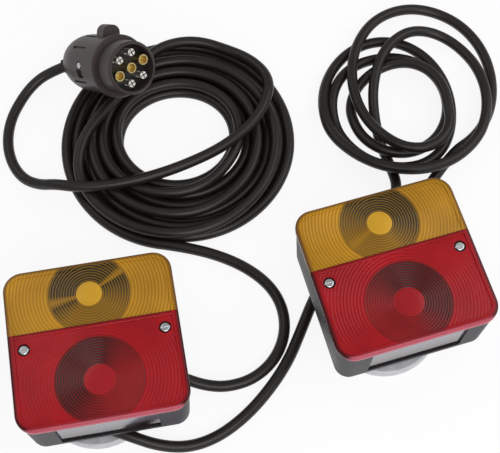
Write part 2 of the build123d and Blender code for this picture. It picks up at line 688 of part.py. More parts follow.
def plug_pieces():
    """Every piece of the plug, where it lies."""
    lug = Rot(0, 0, LUG_ROLL)
    contacts = Rot(0, 0, CONTACT_ROLL)
    frame = plug_frame()
    return {
        "plug_front": frame * plug_front(),
        "plug_cover": frame * lug * plug_cover(),
        "plug_clamp_screw": frame * lug * plug_clamp_screw(),
        "plug_insert": frame * contacts * plug_insert(),
        "plug_pins": [frame * contacts * pin for pin in plug_pins()],
        "plug_sockets": [frame * contacts * tube for tube in plug_sockets()],
        "plug_boot": plug_boot(),
    }


def main_coil():
    """The outer shape of the main coil."""
    shoulder_x = (MAIN_COIL_INNER + MAIN_COIL_SHOULDER) / 2
    section = [
        (MAIN_COIL_INNER, 0),
        (MAIN_COIL_OUTER, 0),
        (MAIN_COIL_OUTER, MAIN_COIL_EDGE_HEIGHT),
        (MAIN_COIL_SHOULDER, MAIN_COIL_HEIGHT),
        (shoulder_x - MAIN_COIL_ROUND, MAIN_COIL_HEIGHT),
        (MAIN_COIL_INNER, MAIN_COIL_HEIGHT - MAIN_COIL_ROUND),
    ]
    return Pos(*MAIN_COIL_CENTRE) * turned(section)


def loop_ring(centre, radii, height):
    """One thrown loop of lead, as an upright ring."""
    outer = Ellipse(radii[0] + CORD_RADIUS, radii[1] + CORD_RADIUS)
    inner = Ellipse(radii[0] - CORD_RADIUS, radii[1] - CORD_RADIUS)
    return Pos(*centre) * Rot(0, 0, LINK_COIL_TURN) * extrude(outer - inner, amount=height)


def link_coil():
    """The outer shape of the link lead's coil."""
    bundle = Pos(*BUNDLE_CENTRE) * extrude(Ellipse(*BUNDLE_RADII), amount=BUNDLE_HEIGHT)
    hole = Pos(*BUNDLE_HOLE_CENTRE) * extrude(Ellipse(*BUNDLE_HOLE_RADII), amount=BUNDLE_HEIGHT)
    coil = bundle + loop_ring(WIDE_LOOP_CENTRE, WIDE_LOOP_RADII, LOOP_HEIGHT)
    coil += loop_ring(NARROW_LOOP_CENTRE, NARROW_LOOP_RADII, LOOP_HEIGHT)
    return coil - hole


def lead(name, points):
    """A lead's tube along straight runs joined by arcs as large as the runs allow."""
    route = [Vector(*point) for point in points]
    radii = []
    for before, corner, after in zip(route, route[1:], route[2:]):
        shorter = min((corner - before).length, (after - corner).length)
        half_turn = math.radians((corner - before).get_angle(after - corner)) / 2
        radii.append(0.45 * shorter / math.tan(half_turn))
    path = FilletPolyline(*route, radius=radii)
    tube = sweep(Plane(origin=route[0], z_dir=route[1] - route[0]) * Circle(CORD_RADIUS), path=path)
    share = tube.volume / (math.pi * CORD_RADIUS**2 * path.length)
    bends = [round(radius) for radius in radii]
    print(name, "length", round(path.length), "volume share", round(share, 4), "radii", bends)
    return tube


def place_lamp(side, piece):
    """A lamp's piece where that lamp lies."""
    if side == "left":
        return Pos(-MAGNET_X, -MAGNET_Y) * piece
    return Pos(*RIGHT_LAMP_PLACE) * Rot(0, 0, RIGHT_LAMP_TURN) * piece


def port_mouth(side, port):
    """The middle of a grommet's outer face, where its lead begins, and a point straight ahead of it."""
    place, heading = port
    axis = Vector(*port_axis(heading))
    line = place_lamp(side, Location((place[0], place[1], BACK_Z)))
    turn = 0 if side == "left" else RIGHT_LAMP_TURN
    axis = axis.rotate(Axis.Z, turn)
    return line.position + axis * GROMMET_OUTSIDE, axis


MAIN_PORT = ((LAMP_WIDTH / 2 - MAIN_PORT_FROM_SIDE, MAIN_PORT_Y), MAIN_PORT_HEADING)
LINK_PORT = ((LINK_PORT_X, LINK_PORT_FROM_EDGE - LAMP_HEIGHT / 2), LINK_PORT_HEADING)
RIGHT_PORT = ((RIGHT_PORT_X, LAMP_HEIGHT / 2 - RIGHT_PORT_FROM_EDGE), RIGHT_PORT_HEADING)

LEFT_PORTS = {"main_lead_grommet": MAIN_PORT, "link_lead_grommet": LINK_PORT}
RIGHT_PORTS = {"link_lead_grommet": RIGHT_PORT}

parts = {}
for side, ports, hand in (("left", LEFT_PORTS, 1), ("right", RIGHT_PORTS, -1)):
    pieces = lamp_pieces(list(ports.values()), hand)
    for name, port in ports.items():
        pieces[name] = grommet(port)
    for name, piece in pieces.items():
        solids = piece if isinstance(piece, list) else [piece]
        parts[side + "_" + name] = [place_lamp(side, solid) for solid in solids]

for name, piece in plug_pieces().items():
    parts[name] = piece if isinstance(piece, list) else [piece]

MAIN_COIL = main_coil()
LINK_COIL = link_coil()
parts["main_coil"] = [MAIN_COIL]
parts["link_coil"] = [LINK_COIL]

boot_middle, boot_ahead = boot_line()
TAIL_START = boot_middle + boot_ahead * BOOT_STUB_REACH
MAIN_TAIL = [
    tuple(TAIL_START),
    tuple(TAIL_START + boot_ahead * 13.0),
    (-18.2, 234.6, 8.0),
    (-27.8, 226.0, 5.2),
    (-37.7, 211.0, 4.0),
    (-42.7, 191.8, 4.0),
    (-38.4, 171.5, 4.0),
    (-25.6, 155.1, 4.6),
    (-7.0, 145.5, 10.8),
    (13.5, 139.6, 19.6),
    (34.0, 136.0, 26.6),
    (54.5, 135.5, 29.8),
    (74.5, 139.0, 30.0),
    (93.0, 147.0, 27.5),
    (108.0, 159.5, 23.0),
    (116.5, 174.0, 18.0),
]
parts["main_lead_tail"] = [lead("main_lead_tail", MAIN_TAIL) - MAIN_COIL]

feed_start, feed_axis = port_mouth("left", MAIN_PORT)
MAIN_FEED = [
    tuple(feed_start),
    tuple(feed_start + feed_axis * 9.0),
    (56.0, -2.4, 8.2),
    (69.0, -8.6, 5.0),
    (83.5, -11.8, 4.0),
    (101.0, -9.4, 4.0),
    (116.4, 0.6, 4.0),
    (126.4, 16.3, 4.0),
    (128.8, 34.7, 4.0),
    (123.2, 52.5, 4.0),
    (109.5, 68.5, 4.0),
    (90.5, 81.5, 4.0),
    (67.5, 91.5, 4.0),
    (44.0, 102.5, 4.0),
]
parts["main_lead_feed"] = [lead("main_lead_feed", MAIN_FEED) - MAIN_COIL]

link_start, link_axis = port_mouth("left", LINK_PORT)
LINK_OUT = [
    tuple(link_start),
    tuple(link_start + link_axis * 8.5),
    (17.0, -34.9, 11.8),
    (34.0, -43.0, 7.0),
    (52.0, -46.5, 4.0),
    (71.0, -43.5, 4.0),
    (90.5, -33.6, 4.0),
    (108.5, -19.3, 4.0),
    (124.8, -2.0, 4.0),
    (137.2, 17.5, 4.0),
    (150.5, 39.5, 4.0),
    (169.0, 62.0, 4.0),
    (190.5, 80.5, 4.0),
    (211.0, 97.0, 4.0),
    (221.0, 114.0, 4.0),
]
parts["link_lead_out"] = [lead("link_lead_out", LINK_OUT) - LINK_COIL]

back_start, back_axis = port_mouth("right", RIGHT_PORT)
LINK_BACK = [
    tuple(back_start),
    tuple(back_start + back_axis * 14.0),
    (236.5, 98.0, 5.0),
    (251.5, 114.0, 4.0),
]
parts["link_lead_back"] = [lead("link_lead_back", LINK_BACK) - LINK_COIL]

for name, solids in parts.items():
    flat = [solid for piece in solids for solid in piece.solids()]
    export_step(Compound(children=flat), "parts/" + name + ".step")
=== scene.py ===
import math

import bmesh
import bpy
from mathutils import Matrix, Vector


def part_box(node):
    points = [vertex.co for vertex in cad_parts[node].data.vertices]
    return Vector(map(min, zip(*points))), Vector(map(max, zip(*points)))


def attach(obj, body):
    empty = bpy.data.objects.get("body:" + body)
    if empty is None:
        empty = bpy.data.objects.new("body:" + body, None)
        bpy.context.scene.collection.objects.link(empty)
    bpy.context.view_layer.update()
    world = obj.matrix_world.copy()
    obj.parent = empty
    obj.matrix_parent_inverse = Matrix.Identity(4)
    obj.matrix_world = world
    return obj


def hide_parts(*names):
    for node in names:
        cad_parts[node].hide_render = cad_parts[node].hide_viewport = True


bl_info = {
    "name": "Magnetic trailer light set",
    "version": (1, 0, 0),
    "blender": (4, 5, 0),
    "location": "View3D > Sidebar > Light set",
    "description": "Dresses a set of magnetic rear lamps with its leads and plug",
    "category": "Object",
}

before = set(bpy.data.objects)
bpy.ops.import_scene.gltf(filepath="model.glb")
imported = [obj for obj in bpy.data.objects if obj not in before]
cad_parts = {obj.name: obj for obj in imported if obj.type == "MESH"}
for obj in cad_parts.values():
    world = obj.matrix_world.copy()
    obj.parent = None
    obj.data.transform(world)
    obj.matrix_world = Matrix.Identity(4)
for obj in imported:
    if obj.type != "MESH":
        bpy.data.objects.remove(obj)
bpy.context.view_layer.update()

# Lengths are in metres, unless a name says otherwise. The lamps' sizes and places come from their parts
# in model.glb.
AMBER_LOW, AMBER_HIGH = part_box("left_amber_lens")
RED_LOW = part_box("left_red_lens")[0]
LAMP_WIDTH = AMBER_HIGH[0] - AMBER_LOW[0]
LAMP_HEIGHT = AMBER_HIGH[1] - RED_LOW[1]
LEFT_CENTRE = ((AMBER_LOW[0] + AMBER_HIGH[0]) / 2, (RED_LOW[1] + AMBER_HIGH[1]) / 2)
DIVIDE_Y = AMBER_LOW[1] - LEFT_CENTRE[1]
FACE_Z = AMBER_HIGH[2]
SKIRT_Z = AMBER_LOW[2]
RIGHT_LOW, RIGHT_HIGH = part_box("right_base")
RIGHT_CENTRE = ((RIGHT_LOW[0] + RIGHT_HIGH[0]) / 2, (RIGHT_LOW[1] + RIGHT_HIGH[1]) / 2)
RIGHT_TURN = math.radians(6.8)
LAMPS = {
    "left": Matrix.Translation((*LEFT_CENTRE, 0)),
    "right": Matrix.Translation((*RIGHT_CENTRE, 0)) @ Matrix.Rotation(RIGHT_TURN, 4, "Z"),
}

# The lenses' mouldings, with angles in degrees.
CORNER_RADIUS = 0.012
LENS_WALL = 0.0025
LENS_FACE = 0.0027
FIELD_SLOPE = 0.0002
FIELD_CORNER = 0.0075
CORNER_CUTS = (22.5, 45.0, 67.5)
PLATE_DEPTH = 0.0006
RING_REACH = 0.064
RING_FLOOR = 0.0001
RING_STEPS = 120
SCREW_X = 0.0431
SCREW_BELOW_DIVIDE = 0.0099
SCREW_HOLE = 0.0019
WELL_WALL = 0.0024
WELL_LIP = 0.0002
WELL_CLEARANCE = 0.0002
WELL_STEPS = 40
DRILL_LENGTH = 0.02
DRILL_PAST = 0.001
LEDGE_SINK = 0.0004
LEDGE_EDGE = 0.0004
LENS_SHARP = 18
UPRIGHT = 0.001
FIELD_SLACK = 0.0001
MERGE = 1e-7

# The disc's crown as shares of its radius and heights over the field, and one ring as shares of its
# pitch and of its rise.
EYE_CROWN = ((0.0, 0.0005), (0.5, 0.00045), (0.9, 0.0003), (1.0, RING_FLOOR))
RING_SHAPE = ((0.35, 1.0), (0.62, 0.85), (1.0, 0.0))

# Where each lens' close rings are in painted shade and painted light streaks cross, in degrees about the eye.
AMBER_LIGHT = {"left": (98, (28, 187)), "right": (62, (205,))}
RED_LIGHT = {"left": (150, ()), "right": (42, ())}

# The lenses' looks: a painted light streak's core and fade as shares of a turn, where the painted light and
# shade lines between rings start as a share of the pitch and how strong they are, the painted shade of the
# groove round the close rings, and the bands along the rim and the foot over which the colours change.
STREAK_CORE = 0.004
STREAK_FADE = 0.030
CLOSE_LINE = (0.26, 0.55)
WIDE_LINE = 0.15
AMBER_FAINT = 0.5
RED_FAINT = 0.32
# The groove's line is painted shade.
GROOVE_AT = 0.0002
GROOVE_HALF = 0.0006
GROOVE_SHADE = 0.4
DIVIDE_RIM = 0.0012
RIM_BAND = (0.0010, 0.0032)
FOOT_BAND = (0.003, 0.0012)

# The leads' routes, as they lie on the floor. The main lead runs from the left lamp to the plug, and the
# link lead from the left lamp to the right one.
MAIN_FEED = [
    (0.036431, 0.007783, 0.015232),
    (0.043725, 0.004130, 0.011429),
    (0.0560, -0.0024, 0.0082),
    (0.0690, -0.0086, 0.0050),
    (0.0835, -0.0118, 0.0040),
    (0.1010, -0.0094, 0.0040),
    (0.1164, 0.0006, 0.0040),
    (0.1264, 0.0163, 0.0040),
    (0.1288, 0.0347, 0.0040),
    (0.1232, 0.0525, 0.0040),
    (0.1095, 0.0685, 0.0040),
    (0.0905, 0.0815, 0.0040),
    (0.0675, 0.0915, 0.0040),
]
MAIN_OVER_COIL = [
    (0.1385, 0.2245),
    (0.1473, 0.2115),
    (0.1488, 0.1975),
    (0.1420, 0.1825),
    (0.1318, 0.1698),
    (0.1185, 0.1600),
    (0.1030, 0.1525),
    (0.0850, 0.1468),
    (0.0665, 0.1425),
    (0.0485, 0.1395),
    (0.0315, 0.1386),
    (0.0150, 0.1394),
    (0.0010, 0.1420),
]
MAIN_TAIL = [
    (-0.0105, 0.1462, 0.0180),
    (-0.0225, 0.1518, 0.0095),
    (-0.0340, 0.1612, 0.0046),
    (-0.0408, 0.1755, 0.0040),
    (-0.0422, 0.1930, 0.0040),
    (-0.0377, 0.2110, 0.0040),
    (-0.0278, 0.2260, 0.0052),
    (-0.0182, 0.2346, 0.0080),
    (-0.006980, 0.239229, 0.011604),
    (0.005354, 0.240091, 0.015621),
]
LINK_OUT = [
    (-0.006645, -0.021359, 0.015232),
    (0.000026, -0.025211, 0.011640),
    (0.0170, -0.0349, 0.0118),
    (0.0340, -0.0430, 0.0070),
    (0.0520, -0.0465, 0.0040),
    (0.0710, -0.0435, 0.0040),
    (0.0905, -0.0336, 0.0040),
    (0.1085, -0.0193, 0.0040),
    (0.1248, -0.0020, 0.0040),
    (0.1372, 0.0175, 0.0040),
    (0.1505, 0.0395, 0.0040),
    (0.1690, 0.0620, 0.0040),
    (0.1920, 0.0790, 0.0040),
    (0.2130, 0.0930, 0.0040),
    (0.2245, 0.1090, 0.0040),
    (0.2225, 0.1280, 0.0040),
    (0.2190, 0.1460, 0.0044),
]
LINK_BACK = [
    (0.2365, 0.0980, 0.0050),
    (0.223106, 0.084737, 0.009315),
    (0.213948, 0.075955, 0.015232),
]

# How strands lie: the height of one on the floor, the most that one climbs or falls from point to point,
# how many points along a lead count as the same strand, and how close to the turns below it the main
# lead's strand over the coil settles, as a share of the diameter.
FLOOR_STRAND = 0.0040
HUMP_STEP = 0.004
SAME_STRAND = 3
LAID_STEPS = 5
NESTING = 0.95
POINTS_PER_TURN = 18

# The main coil, by turns laid: its reach across and along, a shift along, and the height. It lies in
# layers 4.0, 11.2 and 18.6 mm up.
MAIN_CENTRE = (0.0778, 0.1715)
MAIN_START = -117.0
MAIN_RINGS = [
    (0.00, [0.0805, 0.0805, 0.0, 0.0040]), (0.74, [0.0803, 0.0803, 0.0, 0.0040]),
    (1.02, [0.0730, 0.0728, 0.0, 0.0040]), (1.74, [0.0728, 0.0725, 0.0001, 0.0040]),
    (2.02, [0.0655, 0.0650, 0.0002, 0.0040]), (2.74, [0.0653, 0.0646, 0.0003, 0.0040]),
    (3.02, [0.0580, 0.0570, 0.0004, 0.0040]), (3.74, [0.0578, 0.0566, 0.0005, 0.0040]),
    (4.02, [0.0506, 0.0492, 0.0005, 0.0040]), (4.74, [0.0503, 0.0486, 0.0006, 0.0040]),
    (5.02, [0.0433, 0.0417, 0.0008, 0.0040]), (5.45, [0.0424, 0.0400, 0.0011, 0.0040]),
    (5.72, [0.0408, 0.0384, 0.0016, 0.0066]), (6.00, [0.0408, 0.0390, 0.0017, 0.0097]),
    (6.17, [0.0425, 0.0402, 0.0016, 0.0112]), (6.31, [0.0465, 0.0430, 0.0016, 0.0112]),
    (6.60, [0.0458, 0.0430, 0.0012, 0.0116]), (6.80, [0.0428, 0.0424, 0.0010, 0.0142]),
    (6.97, [0.0470, 0.0460, 0.0010, 0.0130]), (7.15, [0.0530, 0.0520, 0.0006, 0.0112]),
    (7.31, [0.0541, 0.0531, 0.0006, 0.0112]), (7.68, [0.0570, 0.0560, 0.0004, 0.0112]),
    (7.92, [0.0610, 0.0600, 0.0, 0.0112]), (8.31, [0.0616, 0.0612, 0.0, 0.0112]),
    (8.68, [0.0700, 0.0690, 0.0, 0.0112]), (8.92, [0.0750, 0.0745, 0.0, 0.0112]),
    (9.13, [0.0765, 0.0765, 0.0, 0.0112]), (9.22, [0.0776, 0.0776, 0.0, 0.0186]),
    (9.41, [0.0790, 0.0790, 0.0, 0.0186]), (9.53, [0.0803, 0.0805, 0.0, 0.0116]),
]

# Near the plug the main coil's last turn is drawn in, clear of it: how far, after which turn, within how
# many degrees, and where the plug lies as seen from the coil's middle.
TUCK = 0.027
TUCK_AFTER = 9.0
TUCK_REACH = 65
PLUG_BEARING = 136

# The link coil, by turns laid: each loop's middle, and its reach across and along. The last points of the
# way out lie below it, and its first points climb from there. The widest loop starts a little early.
LINK_START = 190.0
LINK_LEAN = math.radians(-9.9)
LINK_BELOW = 5
LINK_CLIMB = [0.0048, 0.0064]
LINK_EARLY = 2
LINK_LOOPS = [
    (0.00, [0.2609, 0.1722, 0.0410, 0.0580]),
    (0.60, [0.2609, 0.1722, 0.0410, 0.0580]),
    (0.95, [0.2300, 0.1715, 0.0470, 0.0585]),
    (1.60, [0.2300, 0.1715, 0.0470, 0.0585]),
    (1.95, [0.2315, 0.1720, 0.0417, 0.0430]),
    (2.60, [0.2315, 0.1720, 0.0417, 0.0430]),
    (2.95, [0.2365, 0.1690, 0.0330, 0.0345]),
    (3.55, [0.2365, 0.1690, 0.0350, 0.0365]),
    (3.95, [0.2598, 0.1896, 0.0520, 0.0630]),
    (4.72, [0.2598, 0.1896, 0.0520, 0.0630]),
]

# The studio: the paper floor, area lights by place, size and watts, and the camera.
FLOOR_HALF = 12.0
FLOOR_MIDDLE = (0.1, 0.1, -0.0001)
FLOOR_WHITE = 0.88
STUDIO_LIGHTS = (
    ("key", (0.20, -0.75, 1.00), 0.9, 8.5),
    ("fill", (1.00, 0.10, 0.90), 1.0, 4.5),
    ("back", (-0.55, 0.60, 1.05), 0.8, 1.8),
)
LIGHT_AIM = Vector((0.11, 0.10, 0.0))
WORLD_STRENGTH = 0.42
SENSOR_MM = 36.0
LENS_MM = 82.8
CAMERA_PLACE = Vector((0.06237, -0.21591, 0.73044))
CAMERA_AIM = Vector((0.11234, 0.07117, 0.0660))


def linear(code):
    """A colour's hex code as linear red, green and blue."""
    channels = [int(code[start:start + 2], 16) / 255 for start in (1, 3, 5)]
    return [c / 12.92 if c <= 0.04045 else ((c + 0.055) / 1.055) ** 2.4 for c in channels]


def colour(code, name, description):
    """A colour that a user may change, with its default."""
    return bpy.props.FloatVectorProperty(
        name=name, description=description, subtype="COLOR", size=3, min=0, max=1, default=linear(code)
    )


def length(size, name, description):
    """A length that a user may change, in metres."""
    return bpy.props.FloatProperty(
        name=name, description=description, default=size, unit="LENGTH", precision=5
    )


class LightSetSizes(bpy.types.PropertyGroup):
    """Sizes of the leads and of the lenses' mouldings"""
    lead_diameter: length(0.0076, "Lead diameter", "Outside diameter of both leads")
    edge: length(0.0020, "Lens edge", "Rounding of the lens' front edge")
    border: length(0.0040, "Lens border", "Plain margin round the ringed field")
    field_depth: length(0.0009, "Field depth", "How far the ringed field lies below the lens face")
    ledge: length(0.0026, "Red ledge", "Plain band of the red half along the dividing line")
    amber_eye: length(0.0301, "Amber eye", "Middle of the amber rings above the lamp's middle")
    red_eye: length(-0.0252, "Red eye", "Middle of the red rings above the lamp's middle")
    amber_disc: length(0.0080, "Amber disc", "Radius of the smooth disc in the amber rings")
    red_disc: length(0.0096, "Red disc", "Radius of the smooth disc in the red rings")
    amber_zone: length(0.0250, "Amber zone", "Radius of the close rings of the amber half")
    red_zone: length(0.0268, "Red zone", "Radius of the close rings of the red half")
    close_pitch: length(0.0017, "Close pitch", "Spacing of the close rings")
    wide_pitch: length(0.0021, "Wide pitch", "Spacing of the outer rings")
    ring_rise: length(0.00022, "Ring rise", "Height of a ring over its valleys")
    well_radius: length(0.0036, "Screw well", "Radius of the sunk well round a lens screw")
    well_depth: length(0.0026, "Well depth", "Depth of the screw well below the lens face")


class LightSetColours(bpy.types.PropertyGroup):
    """Colours of the lenses, housings, plug, leads and floor"""
    amber: colour("#B8841F", "Amber", "Outer field of the amber lens")
    # The dark and warm close-ring tints are painted shade and painted light.
    amber_dark: colour("#2F2A1B", "Dark amber", "Close rings of the amber lens, away from the light")
    amber_warm: colour("#76561D", "Warm amber", "Close rings of the amber lens, towards the light")
    amber_bright: colour("#C4952C", "Bright amber", "Disc of the amber lens")
    amber_edge: colour("#6E4812", "Amber edge", "Rim of the amber lens")
    red: colour("#9E141C", "Red", "Outer field of the red lens")
    # The dark and warm close-ring tints are painted shade and painted light.
    red_dark: colour("#381A18", "Dark red", "Close rings of the red lens, away from the light")
    red_warm: colour("#7C1A1C", "Warm red", "Close rings of the red lens, towards the light")
    red_bright: colour("#961C22", "Bright red", "Disc of the red lens")
    # The red edge tint also fills the screw wells, as painted shade.
    red_edge: colour("#45090F", "Red edge", "Rim of the red lens")
    red_foot: colour("#B04C5C", "Red foot", "Lower rim of the red lens, where the floor lights it")
    housing: colour("#1C171E", "Housing", "Moulded housings")
    plug: colour("#2A2120", "Plug", "Plug mouldings")
    sheath: colour("#1C1714", "Sheath", "Sheath of the leads")
    floor: colour("#F8F8F8", "Floor", "Paper floor")


def sizes():
    """The sizes as the user has set them."""
    return bpy.context.scene.light_set_sizes


def colours():
    """The colours as the user has set them."""
    return bpy.context.scene.light_set_colours


def add_node(tree, kind, inputs=None, **settings):
    """One shader node with its settings, and its inputs set or linked."""
    node = tree.nodes.new(kind)
    for name, value in settings.items():
        setattr(node, name, value)
    for name, value in (inputs or {}).items():
        if isinstance(value, bpy.types.NodeSocket):
            tree.links.new(value, node.inputs[name])
        else:
            node.inputs[name].default_value = value
    return node


def new_material(name, **surface):
    """A material with its Principled surface, and the tree that feeds it."""
    material = bpy.data.materials.new(name)
    material.use_nodes = True
    shader = material.node_tree.nodes["Principled BSDF"]
    for socket, value in surface.items():
        shader.inputs[socket.replace("_", " ")].default_value = value
    return material, material.node_tree, shader


def rgba(values):
    """A colour with full opacity."""
    return (*values, 1.0)


def tone(base, factor):
    """A colour made darker or lighter."""
    return [min(1.0, channel * factor) for channel in base]


def pattern_scale(spacing_mm):
    """A noise scale, in object metres, that repeats about once in that many millimetres."""
    return 1000.0 / spacing_mm


def mottled(tree, shader, cloud, tones, gloss):
    """Base colour and roughness that drift together with one cloudy pattern, each between two values."""
    shade = add_node(
        tree, "ShaderNodeMix", {"Factor": cloud, "A": rgba(tones[0]), "B": rgba(tones[1])}, data_type="RGBA"
    )
    tree.links.new(shade.outputs["Result"], shader.inputs["Base Color"])
    rough = add_node(tree, "ShaderNodeMapRange", {"Value": cloud, "To Min": gloss[0], "To Max": gloss[1]})
    tree.links.new(rough.outputs["Result"], shader.inputs["Roughness"])


def moulded_abs(name, base, sheen=0.35):
    """Spark-eroded black ABS or nylon: a dull, even sheen broken by a fine grain, lighter where handled."""
    material, tree, shader = new_material(name, IOR=1.53, Specular_IOR_Level=sheen)
    place = add_node(tree, "ShaderNodeTexCoord").outputs["Object"]
    cloud = add_node(
        tree, "ShaderNodeTexNoise", {"Vector": place, "Scale": pattern_scale(28), "Detail": 4.0}
    )
    worn = [min(1.0, channel * 1.9 + 0.008) for channel in base]
    mottled(tree, shader, cloud.outputs["Fac"], (tone(base, 0.75), worn), (0.36, 0.52))
    grain = add_node(
        tree, "ShaderNodeTexNoise", {"Vector": place, "Scale": pattern_scale(0.9), "Detail": 3.0}
    )
    bump = add_node(
        tree, "ShaderNodeBump", {"Height": grain.outputs["Fac"], "Strength": 0.18, "Distance": 0.0002}
    )
    tree.links.new(bump.outputs["Normal"], shader.inputs["Normal"])
    return material


def eye_sectors(tree, spot, side, streaks, tints):
    """Close rings with painted shade on one side of the eye, painted light opposite, and painted light
    streaks.
    """
    outer, dark, warm = tints
    facing = add_node(
        tree, "ShaderNodeVectorRotate", {"Vector": spot, "Angle": math.radians(180 - side)},
        rotation_type="Z_AXIS",
    )
    sector = add_node(
        tree, "ShaderNodeTexGradient", {"Vector": facing.outputs["Vector"]}, gradient_type="RADIAL"
    )
    bands = add_node(tree, "ShaderNodeValToRGB", {"Fac": sector.outputs["Fac"]})
    bands.color_ramp.elements[0].color = rgba(dark)
    bands.color_ramp.elements[1].color = rgba(dark)
    stops = [(0.19, dark), (0.36, warm), (0.62, warm), (0.79, dark)]
    # The streaks' tint is painted light.
    lit = [a * 0.3 + b * 0.7 for a, b in zip(outer, warm)]
    for streak in streaks:
        share = (streak - side) / 360 % 1
        under = dark if share < 0.26 or share > 0.72 else warm
        stops += [(share - STREAK_FADE, under), (share - STREAK_CORE, lit)]
        stops += [(share + STREAK_CORE, lit), (share + STREAK_FADE, under)]
    for share, tint in stops:
        bands.color_ramp.elements.new(share).color = rgba(tint)
    return bands.outputs["Color"]


def ring_lines(tree, past, beyond, faint):
    """How strongly the painted light and shade lines between the rings show, at each distance past the close
    rings.
    """
    size = sizes()
    shown = []
    for pitch, start, strength in ((size.close_pitch, *CLOSE_LINE), (size.wide_pitch, WIDE_LINE, faint)):
        wave = add_node(tree, "ShaderNodeMath", {0: past, 1: pitch / 2}, operation="PINGPONG")
        reach = {"From Min": pitch * start, "From Max": pitch / 2, "To Max": strength}
        line = add_node(tree, "ShaderNodeMapRange", {"Value": wave.outputs["Value"], **reach})
        shown.append(line.outputs["Result"])
    lines = add_node(tree, "ShaderNodeMix", {"Factor": beyond, "A": shown[0], "B": shown[1]})
    return lines.outputs["Result"]


def lens_rim(tree, field, edge, foot):
    """Puts the rim's colours round the field's: dark, but lit from below along the lamp's foot."""
    rim = add_node(tree, "ShaderNodeUVMap", uv_map="rim").outputs["UV"]
    rim = add_node(tree, "ShaderNodeSeparateXYZ", {"Vector": rim})
    inside = add_node(
        tree, "ShaderNodeMapRange",
        {"Value": rim.outputs["X"], "From Min": RIM_BAND[0], "From Max": RIM_BAND[1]},
    )
    start, full = [place - LAMP_HEIGHT / 2 for place in FOOT_BAND]
    low = add_node(
        tree, "ShaderNodeMapRange", {"Value": rim.outputs["Y"], "From Min": start, "From Max": full}
    )
    border = add_node(
        tree, "ShaderNodeMix",
        {"Factor": low.outputs["Result"], "A": rgba(edge), "B": rgba(foot)}, data_type="RGBA",
    )
    whole = add_node(
        tree, "ShaderNodeMix",
        {"Factor": inside.outputs["Result"], "A": border.outputs["Result"], "B": field}, data_type="RGBA",
    )
    return whole.outputs["Result"]


def lens_acrylic(name, zones, side, streaks, faint, tints):
    """Injection-moulded acrylic, clear and deep in colour, with painted light and shade lines along its
    rings.
    The close rings carry painted shade on one side, where they bend the light of the eye away, painted
    light opposite, a painted light streak or two across them and a painted shade line round them. The rim
    is dark, except at the foot, where the floor lights it from below."""
    disc, zone = zones
    outer, dark, warm, bright, edge, foot = tints
    material, tree, shader = new_material(name, IOR=1.49, Roughness=0.2, Specular_IOR_Level=0.2)
    spot = add_node(tree, "ShaderNodeUVMap", uv_map="eye").outputs["UV"]
    place = add_node(tree, "ShaderNodeTexCoord").outputs["Object"]
    reach = add_node(tree, "ShaderNodeVectorMath", {0: spot}, operation="LENGTH").outputs["Value"]
    inner, beyond, past = [
        add_node(tree, "ShaderNodeMath", {0: reach, 1: limit}, operation=test).outputs["Value"]
        for limit, test in ((disc, "GREATER_THAN"), (zone, "GREATER_THAN"), (zone, "SUBTRACT"))
    ]
    sectors = eye_sectors(tree, spot, side, streaks, (outer, dark, warm))
    ground = add_node(
        tree, "ShaderNodeMix", {"Factor": inner, "A": rgba(bright), "B": sectors}, data_type="RGBA"
    )
    ground = add_node(
        tree, "ShaderNodeMix",
        {"Factor": beyond, "A": ground.outputs["Result"], "B": rgba(outer)}, data_type="RGBA",
    )
    # The lines' tint: painted light over the close rings, painted shade in the outer rings' valleys.
    dim = [(a + b) / 2 for a, b in zip(warm, dark)]
    valley = add_node(
        tree, "ShaderNodeMix", {"Factor": beyond, "A": rgba(outer), "B": rgba(dim)}, data_type="RGBA"
    )
    lines = ring_lines(tree, past, beyond, faint)
    lines = add_node(tree, "ShaderNodeMath", {0: lines, 1: inner}, operation="MULTIPLY")
    ringed = add_node(
        tree, "ShaderNodeMix",
        {"Factor": lines.outputs["Value"], "A": ground.outputs["Result"], "B": valley.outputs["Result"]},
        data_type="RGBA",
    )
    # A thin line of painted shade round the close rings, at their groove.
    groove = add_node(
        tree, "ShaderNodeMath", {0: past, 1: GROOVE_AT, 2: GROOVE_HALF}, operation="COMPARE"
    )
    groove = add_node(
        tree, "ShaderNodeMath", {0: groove.outputs["Value"], 1: GROOVE_SHADE}, operation="MULTIPLY"
    )
    groove_shaded = add_node(
        tree, "ShaderNodeMix",
        {"Factor": groove.outputs["Value"], "A": ringed.outputs["Result"], "B": rgba(dark)},
        data_type="RGBA",
    )
    cloud = add_node(
        tree, "ShaderNodeTexNoise", {"Vector": place, "Scale": pattern_scale(30), "Detail": 3.0}
    )
    lift = add_node(
        tree, "ShaderNodeMapRange",
        {"Value": cloud.outputs["Fac"], "From Min": 0.3, "From Max": 0.7, "To Min": 0.84, "To Max": 1.14},
    )
    shade = add_node(
        tree, "ShaderNodeVectorMath",
        {0: groove_shaded.outputs["Result"], "Scale": lift.outputs["Result"]}, operation="SCALE",
    )
    whole = lens_rim(tree, shade.outputs["Vector"], edge, foot)
    tree.links.new(whole, shader.inputs["Base Color"])
    return material


def pvc_sheath(base):
    """Extruded black PVC: a soft satin line along the lead, with a slightly uneven skin."""
    material, tree, shader = new_material("Black PVC sheath", IOR=1.52, Specular_IOR_Level=0.32)
    place = add_node(tree, "ShaderNodeTexCoord").outputs["Object"]
    cloud = add_node(
        tree, "ShaderNodeTexNoise", {"Vector": place, "Scale": pattern_scale(16), "Detail": 4.0}
    )
    mottled(tree, shader, cloud.outputs["Fac"], (tone(base, 0.7), tone(base, 1.5)), (0.30, 0.44))
    skin = add_node(
        tree, "ShaderNodeTexNoise", {"Vector": place, "Scale": pattern_scale(2.2), "Detail": 2.0}
    )
    bump = add_node(
        tree, "ShaderNodeBump", {"Height": skin.outputs["Fac"], "Strength": 0.12, "Distance": 0.0003}
    )
    tree.links.new(bump.outputs["Normal"], shader.inputs["Normal"])
    return material


